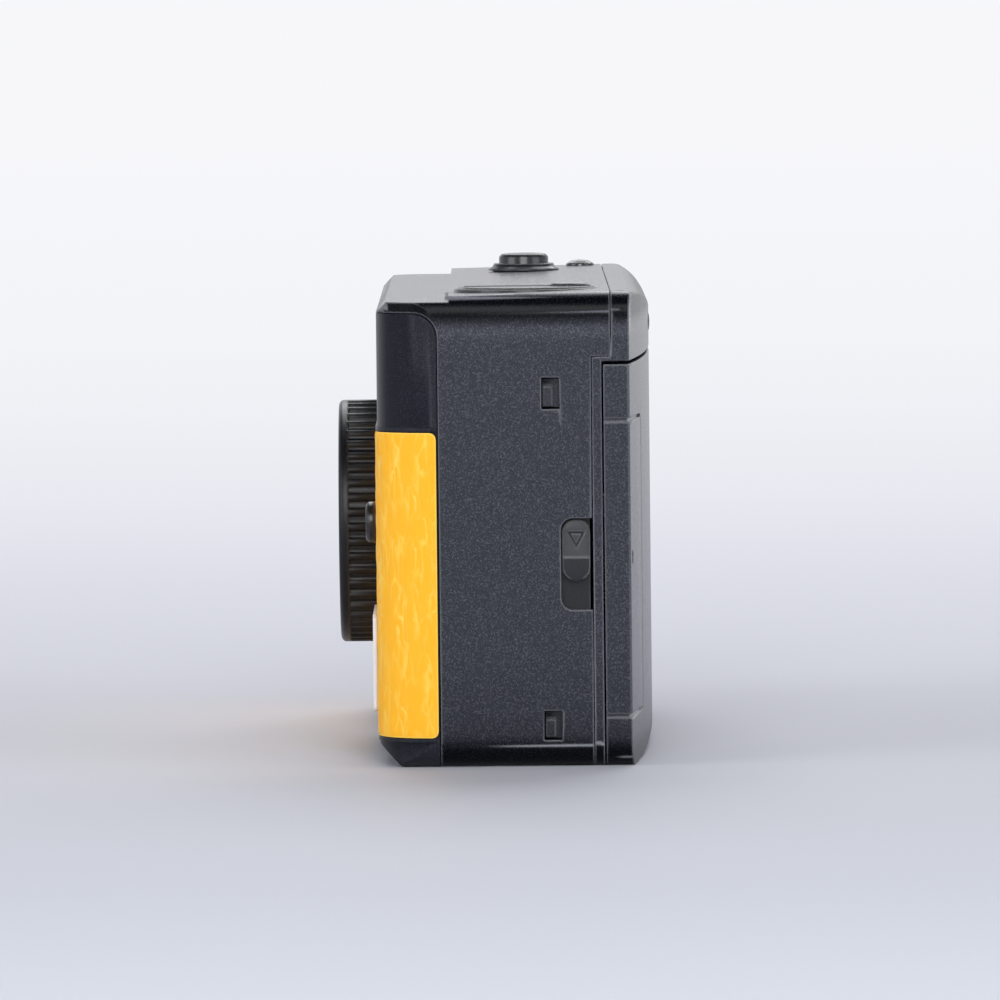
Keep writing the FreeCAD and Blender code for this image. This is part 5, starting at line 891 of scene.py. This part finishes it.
dial_white = plastic("printed_white_dial", linear(222, 221, 214), rough=0.45, pitch=0.3, depth=0.002,
                     spec=0.4, edge_highlight=0.0)
dial_ink = plastic("black_dial_ink", linear(28, 28, 30), rough=0.5, pitch=0.3, depth=0.001, spec=0.3,
                   edge_highlight=0.0)
moulding("counter_disc", "counter_dial", "dial_white", dial_white, edge=0.03, body="counter")
dial_low, dial_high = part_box("counter_disc")
dial_mid = (dial_low + dial_high) / 2
tick = prism_between("dial_tick", [[(TICK_IN_R, y, 0.0), (TICK_IN_R, y, TICK_RISE),
                                    (TICK_OUT_R, y, TICK_RISE), (TICK_OUT_R, y, 0.0)]
                                   for y in (-TICK_HALF, TICK_HALF)])
tick_draft = placed("dial_print", bpy.data.meshes.new("dial_print"))
row_of(tick, row_round, tick_draft, "dial_ticks", "gloss_black", dial_ink, body="counter",
       Count=DIAL_FRAMES, Radius=ON_AXIS, Centre=(dial_mid.x, dial_mid.y, dial_high.z), Turn=(0, 0, 0))
numbers = bmesh.new()
for i in range(DIAL_NUMBERS):
    words = bpy.data.curves.new("dial_number", "FONT")
    words.body = str(i * DIAL_FRAMES // DIAL_NUMBERS)
    words.size = NUMBER_SIZE * MM
    words.extrude = NUMBER_RISE * MM
    words.align_x = words.align_y = "CENTER"
    draft = placed("dial_number", words)
    shape = made_from(draft)
    shape.transform(Matrix.Translation((dial_mid.x, dial_mid.y, dial_high.z + NUMBER_RISE * MM))
                    @ Matrix.Rotation(2 * math.pi * i / DIAL_NUMBERS, 4, "Z")
                    @ Matrix.Translation((NUMBER_R * MM, 0, 0)) @ Matrix.Rotation(-math.pi / 2, 4, "Z"))
    numbers.from_mesh(shape)
    bpy.data.objects.remove(draft)
number_draft = placed("dial_numbers", as_mesh("dial_numbers", numbers))
finished(number_draft, "dial_numbers", "gloss_black", dial_ink, body="counter")


# Screws, pins and springs
# Plated cross-recess screws hold the shells from below, and steel pins carry the two doors.
# The springs are bright leaf steel, and the cell's contacts are nickel-plated.
CROSS_LONG = 1.15
CROSS_HALF = 0.22
CROSS_DEEP = ((0.27, 1.0), (0.301, 0.9))
SCREW_PLACES = ((-53.0, -15.0), (53.0, -17.3), (-23.498, -16.0), (34.0, -16.0))


def at_points_tree():
    """Puts a copy of a shape at each point that comes in."""
    tree, given, result = tree_with("copies_at_points", Copy="Object", Finish="Material")
    return given_finish(tree, given, result, copied(tree, given, given["Geometry"]))


plated_steel = metal("plated_steel", linear(168, 168, 172), rough=0.28, pitch=0.3, depth=0.001)
spring_leaf = metal("bright_spring_steel", linear(150, 151, 156), rough=0.24, pitch=0.4, depth=0.001,
                    stretch=(1, 1, 5))
recess_shade = plastic("shadowed_screw_recess", linear(24, 24, 26), rough=0.5, pitch=0.2, depth=0.002,
                       spec=0.3, edge_highlight=0.0)
moulding("body_screws", "shell_screws", "steel", plated_steel, edge=0.06)
cross_outline = []
for turn in range(4):
    for x, y in ((CROSS_HALF, -CROSS_HALF), (CROSS_LONG, -CROSS_HALF), (CROSS_LONG, CROSS_HALF)):
        for _ in range(turn):
            x, y = -y, x
        cross_outline.append((x, y))
cross = prism_between("cross_recess", [[(x * share, y * share, z) for x, y in cross_outline]
                                       for z, share in CROSS_DEEP])
screw_points = bpy.data.meshes.new("screw_recesses")
screw_points.from_pydata([(x * MM, y * MM, 0.0) for x, y in SCREW_PLACES], [], [])
row_of(cross, at_points_tree(), placed("screw_recesses", screw_points), "screw_recesses", "gloss_black",
       recess_shade)
mouldings(
    ("door_hinge_pin", "door_pin", "steel", plated_steel, 0.12),
    ("strap_bar", "strap_pin", "steel", plated_steel, 0.12),
    ("battery_hinge_pins", "flap_pins", "steel", plated_steel, 0.06),
    ("battery_contacts", "cell_contacts", "spring_steel", spring_leaf, 0.05))
latch_leaf = moulding("latch_spring", "latch_leaf", "spring_steel", spring_leaf, edge=0.04)
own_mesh(latch_leaf)
button_leaf = moulding("shutter_button_spring", "button_leaf", "spring_steel", spring_leaf, edge=0.04,
                       body=None)
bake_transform(button_leaf)
plate_leaf = moulding("pressure_spring", "plate_leaf", "spring_steel", spring_leaf, edge=0.04,
                      body="back_door")
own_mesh(plate_leaf)


# Rewind controls
# A glossy collar trims the well round the crank. The disc turns in it, with a folding arm and a small knob.
# A plated sleeve and a forked shaft below the disc reach the film cartridge.
CRANK_AXIS = (42.6, -7.9)
KNOB_GRIPS = 26
KNOB_GRIP_ROOT_R = 2.66
KNOB_GRIP_R = 2.78
KNOB_GRIP_ROOT_HALF = 0.17
KNOB_GRIP_HALF = 0.08
KNOB_GRIP_Z = (-0.62, -0.18)
KNOB_GRIP_TOP = 0.12
gloss_plastic = plastic("polished_black_plastic", linear(26, 26, 30), rough=0.20, pitch=0.5, depth=0.0015,
                        spec=0.55, edge_highlight=0.5)
disc_plastic = plastic("turned_black_disc", linear(28, 28, 32), rough=0.26, pitch=0.4, depth=0.002,
                       edge_highlight=0.6, rings=("Z", (*CRANK_AXIS, 0), 0.35, 0.004))
mouldings(
    ("rewind_collar", "crank_collar", "gloss_black", gloss_plastic, 0.06),
    ("rewind_sleeve", "lift_sleeve", "steel", plated_steel, 0.08, "rewind_sleeve"),
    ("rewind_shaft", "forked_shaft", "steel", plated_steel, 0.08, "rewind_crank"),
    ("crank_disc", "crank_plate", "gloss_black", disc_plastic, 0.03, "rewind_crank"),
    ("crank_arm", "crank_lever", "gloss_black", gloss_plastic, 0.10, "crank_arm"))
knob_low, knob_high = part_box("crank_knob")
knob_mid = (knob_low + knob_high) / 2
grip = prism_between("knob_grip", [[(KNOB_GRIP_ROOT_R, -KNOB_GRIP_ROOT_HALF, z),
                                    (KNOB_GRIP_ROOT_R, KNOB_GRIP_ROOT_HALF, z),
                                    (KNOB_GRIP_R, KNOB_GRIP_HALF, z), (KNOB_GRIP_R, -KNOB_GRIP_HALF, z)]
                                   for z in KNOB_GRIP_Z])
knob_draft = placed("knob_grips", bpy.data.meshes.new("knob_grips"))
row_of(grip, row_round, knob_draft, "knob_grips", "gloss_black", gloss_plastic, body="crank_knob",
       Count=KNOB_GRIPS, Radius=ON_AXIS, Turn=(0, 0, 0),
       Centre=(knob_mid.x, knob_mid.y, knob_high.z - KNOB_GRIP_TOP * MM))
moulding("crank_knob", "crank_button", "gloss_black", gloss_plastic, edge=0.12, body="crank_knob")


# Shutter button
# A polished button with a dished top, in a collar pressed into the top.
# Its edge is a little paler, as a painted highlight.
button_plastic = plastic("polished_black_button", linear(30, 30, 34), rough=0.18, pitch=0.5, depth=0.0015,
                         spec=0.6, edge_highlight=0.5)
mouldings(
    ("shutter_button_collar", "button_ring", "gloss_black", gloss_plastic, 0.05),
    ("shutter_button", "button_cap", "gloss_black", button_plastic, 0.10, "shutter_button"))


# Film transport
# The serrated thumb wheel shows at the back. Its shaft is the slotted take-up spool in the chamber below.
# The film pulls the toothed sprocket round, and a button below frees it for rewinding.
WHEEL_AXIS = (-43.4958, -5.2)
wheel_plastic = plastic("satin_black_wheel", linear(30, 30, 33), rough=0.32, pitch=0.3, depth=0.003,
                        edge_highlight=0.8, rings=("Z", (*WHEEL_AXIS, 0), 0.6, 0.01))
mouldings(
    ("thumb_wheel", "advance_wheel", "gloss_black", wheel_plastic, 0.08, "film_advance"),
    ("take_up_spool", "slotted_spool", "chassis_black", chassis_plastic, 0.08, "film_advance"),
    ("sprocket_roller", "toothed_roller", "chassis_black", chassis_plastic, 0.06, "sprocket"),
    ("rewind_release_button", "release_pin", "gloss_black", gloss_plastic, 0.08, "rewind_release"))


# Flash switch
# A small round slide knob with a raised rim, moulded in black plastic.
# A keeper plate holds it from inside, and it runs up and down in a slot in the cover.
moulding("flash_switch", "switch_knob", "gloss_black", gloss_plastic, edge=0.10, body="flash_switch")


# Back latch
# A satin slide with a sloping upper half, where a triangle is engraved, and a raised lower half.
# It runs in a slot at the end of the body and holds the door shut.
MARK_MID_Y = -1.64
MARK_TOP_Z = 31.3
MARK_TIP_Z = 29.0
MARK_HALF = 1.25
MARK_LINE = 0.30
MARK_ROOT_X = 58.2
MARK_SUNK = 0.02
SLOPE_LOW_X = 58.85
SLOPE_LOW_Z = 27.878
SLOPE_FALL = 0.55 / 6.022
slide_plastic = plastic("satin_black_slide", linear(15, 18, 26), rough=0.34, pitch=0.22, depth=0.004,
                        painted_glints=0.15, spec=0.4, edge_highlight=1.0)
moulding("latch_slider", "latch_slide", "gloss_black", slide_plastic, edge=0, body="latch_slider",
         crease=24, flats=True)
mark_mid_z = (2 * MARK_TOP_Z + MARK_TIP_Z) / 3
mark_share = 1 - 3 * MARK_LINE / (MARK_TOP_Z - MARK_TIP_Z)
mark_corners = [(MARK_MID_Y + across * mark_share, mark_mid_z + (z - mark_mid_z) * mark_share)
                for across, z in ((MARK_HALF, MARK_TOP_Z), (-MARK_HALF, MARK_TOP_Z), (0.0, MARK_TIP_Z))]
island = prism_between("latch_mark", [[(MARK_ROOT_X, y, z) for y, z in mark_corners],
                                      [(SLOPE_LOW_X - SLOPE_FALL * (z - SLOPE_LOW_Z) - MARK_SUNK, y, z)
                                       for y, z in mark_corners]])
bpy.context.collection.objects.link(island)
finished(island, "latch_mark", "gloss_black", slide_plastic, body="latch_slider")


# Pressure plate and light seal
# A stamped plate, painted black, that the spring in the door holds flat against the film.
# A strip of black foam inside the door keeps light out beside the hinge.
plate_paint = plastic("painted_pressure_plate", linear(30, 30, 32), rough=0.40, pitch=0.2, depth=0.003,
                      edge_highlight=0.5)
seal_foam = plastic("black_foam", linear(22, 22, 23), rough=0.95, pitch=0.5, depth=0.12, painted_glints=0.2,
                    spec=0.1, edge_highlight=0.0)
mouldings(
    ("pressure_plate", "film_pressure_plate", "chassis_black", plate_paint, 0.10, "pressure_plate"),
    ("light_seal", "foam_strip", "foam", seal_foam, 0.2, "back_door"))
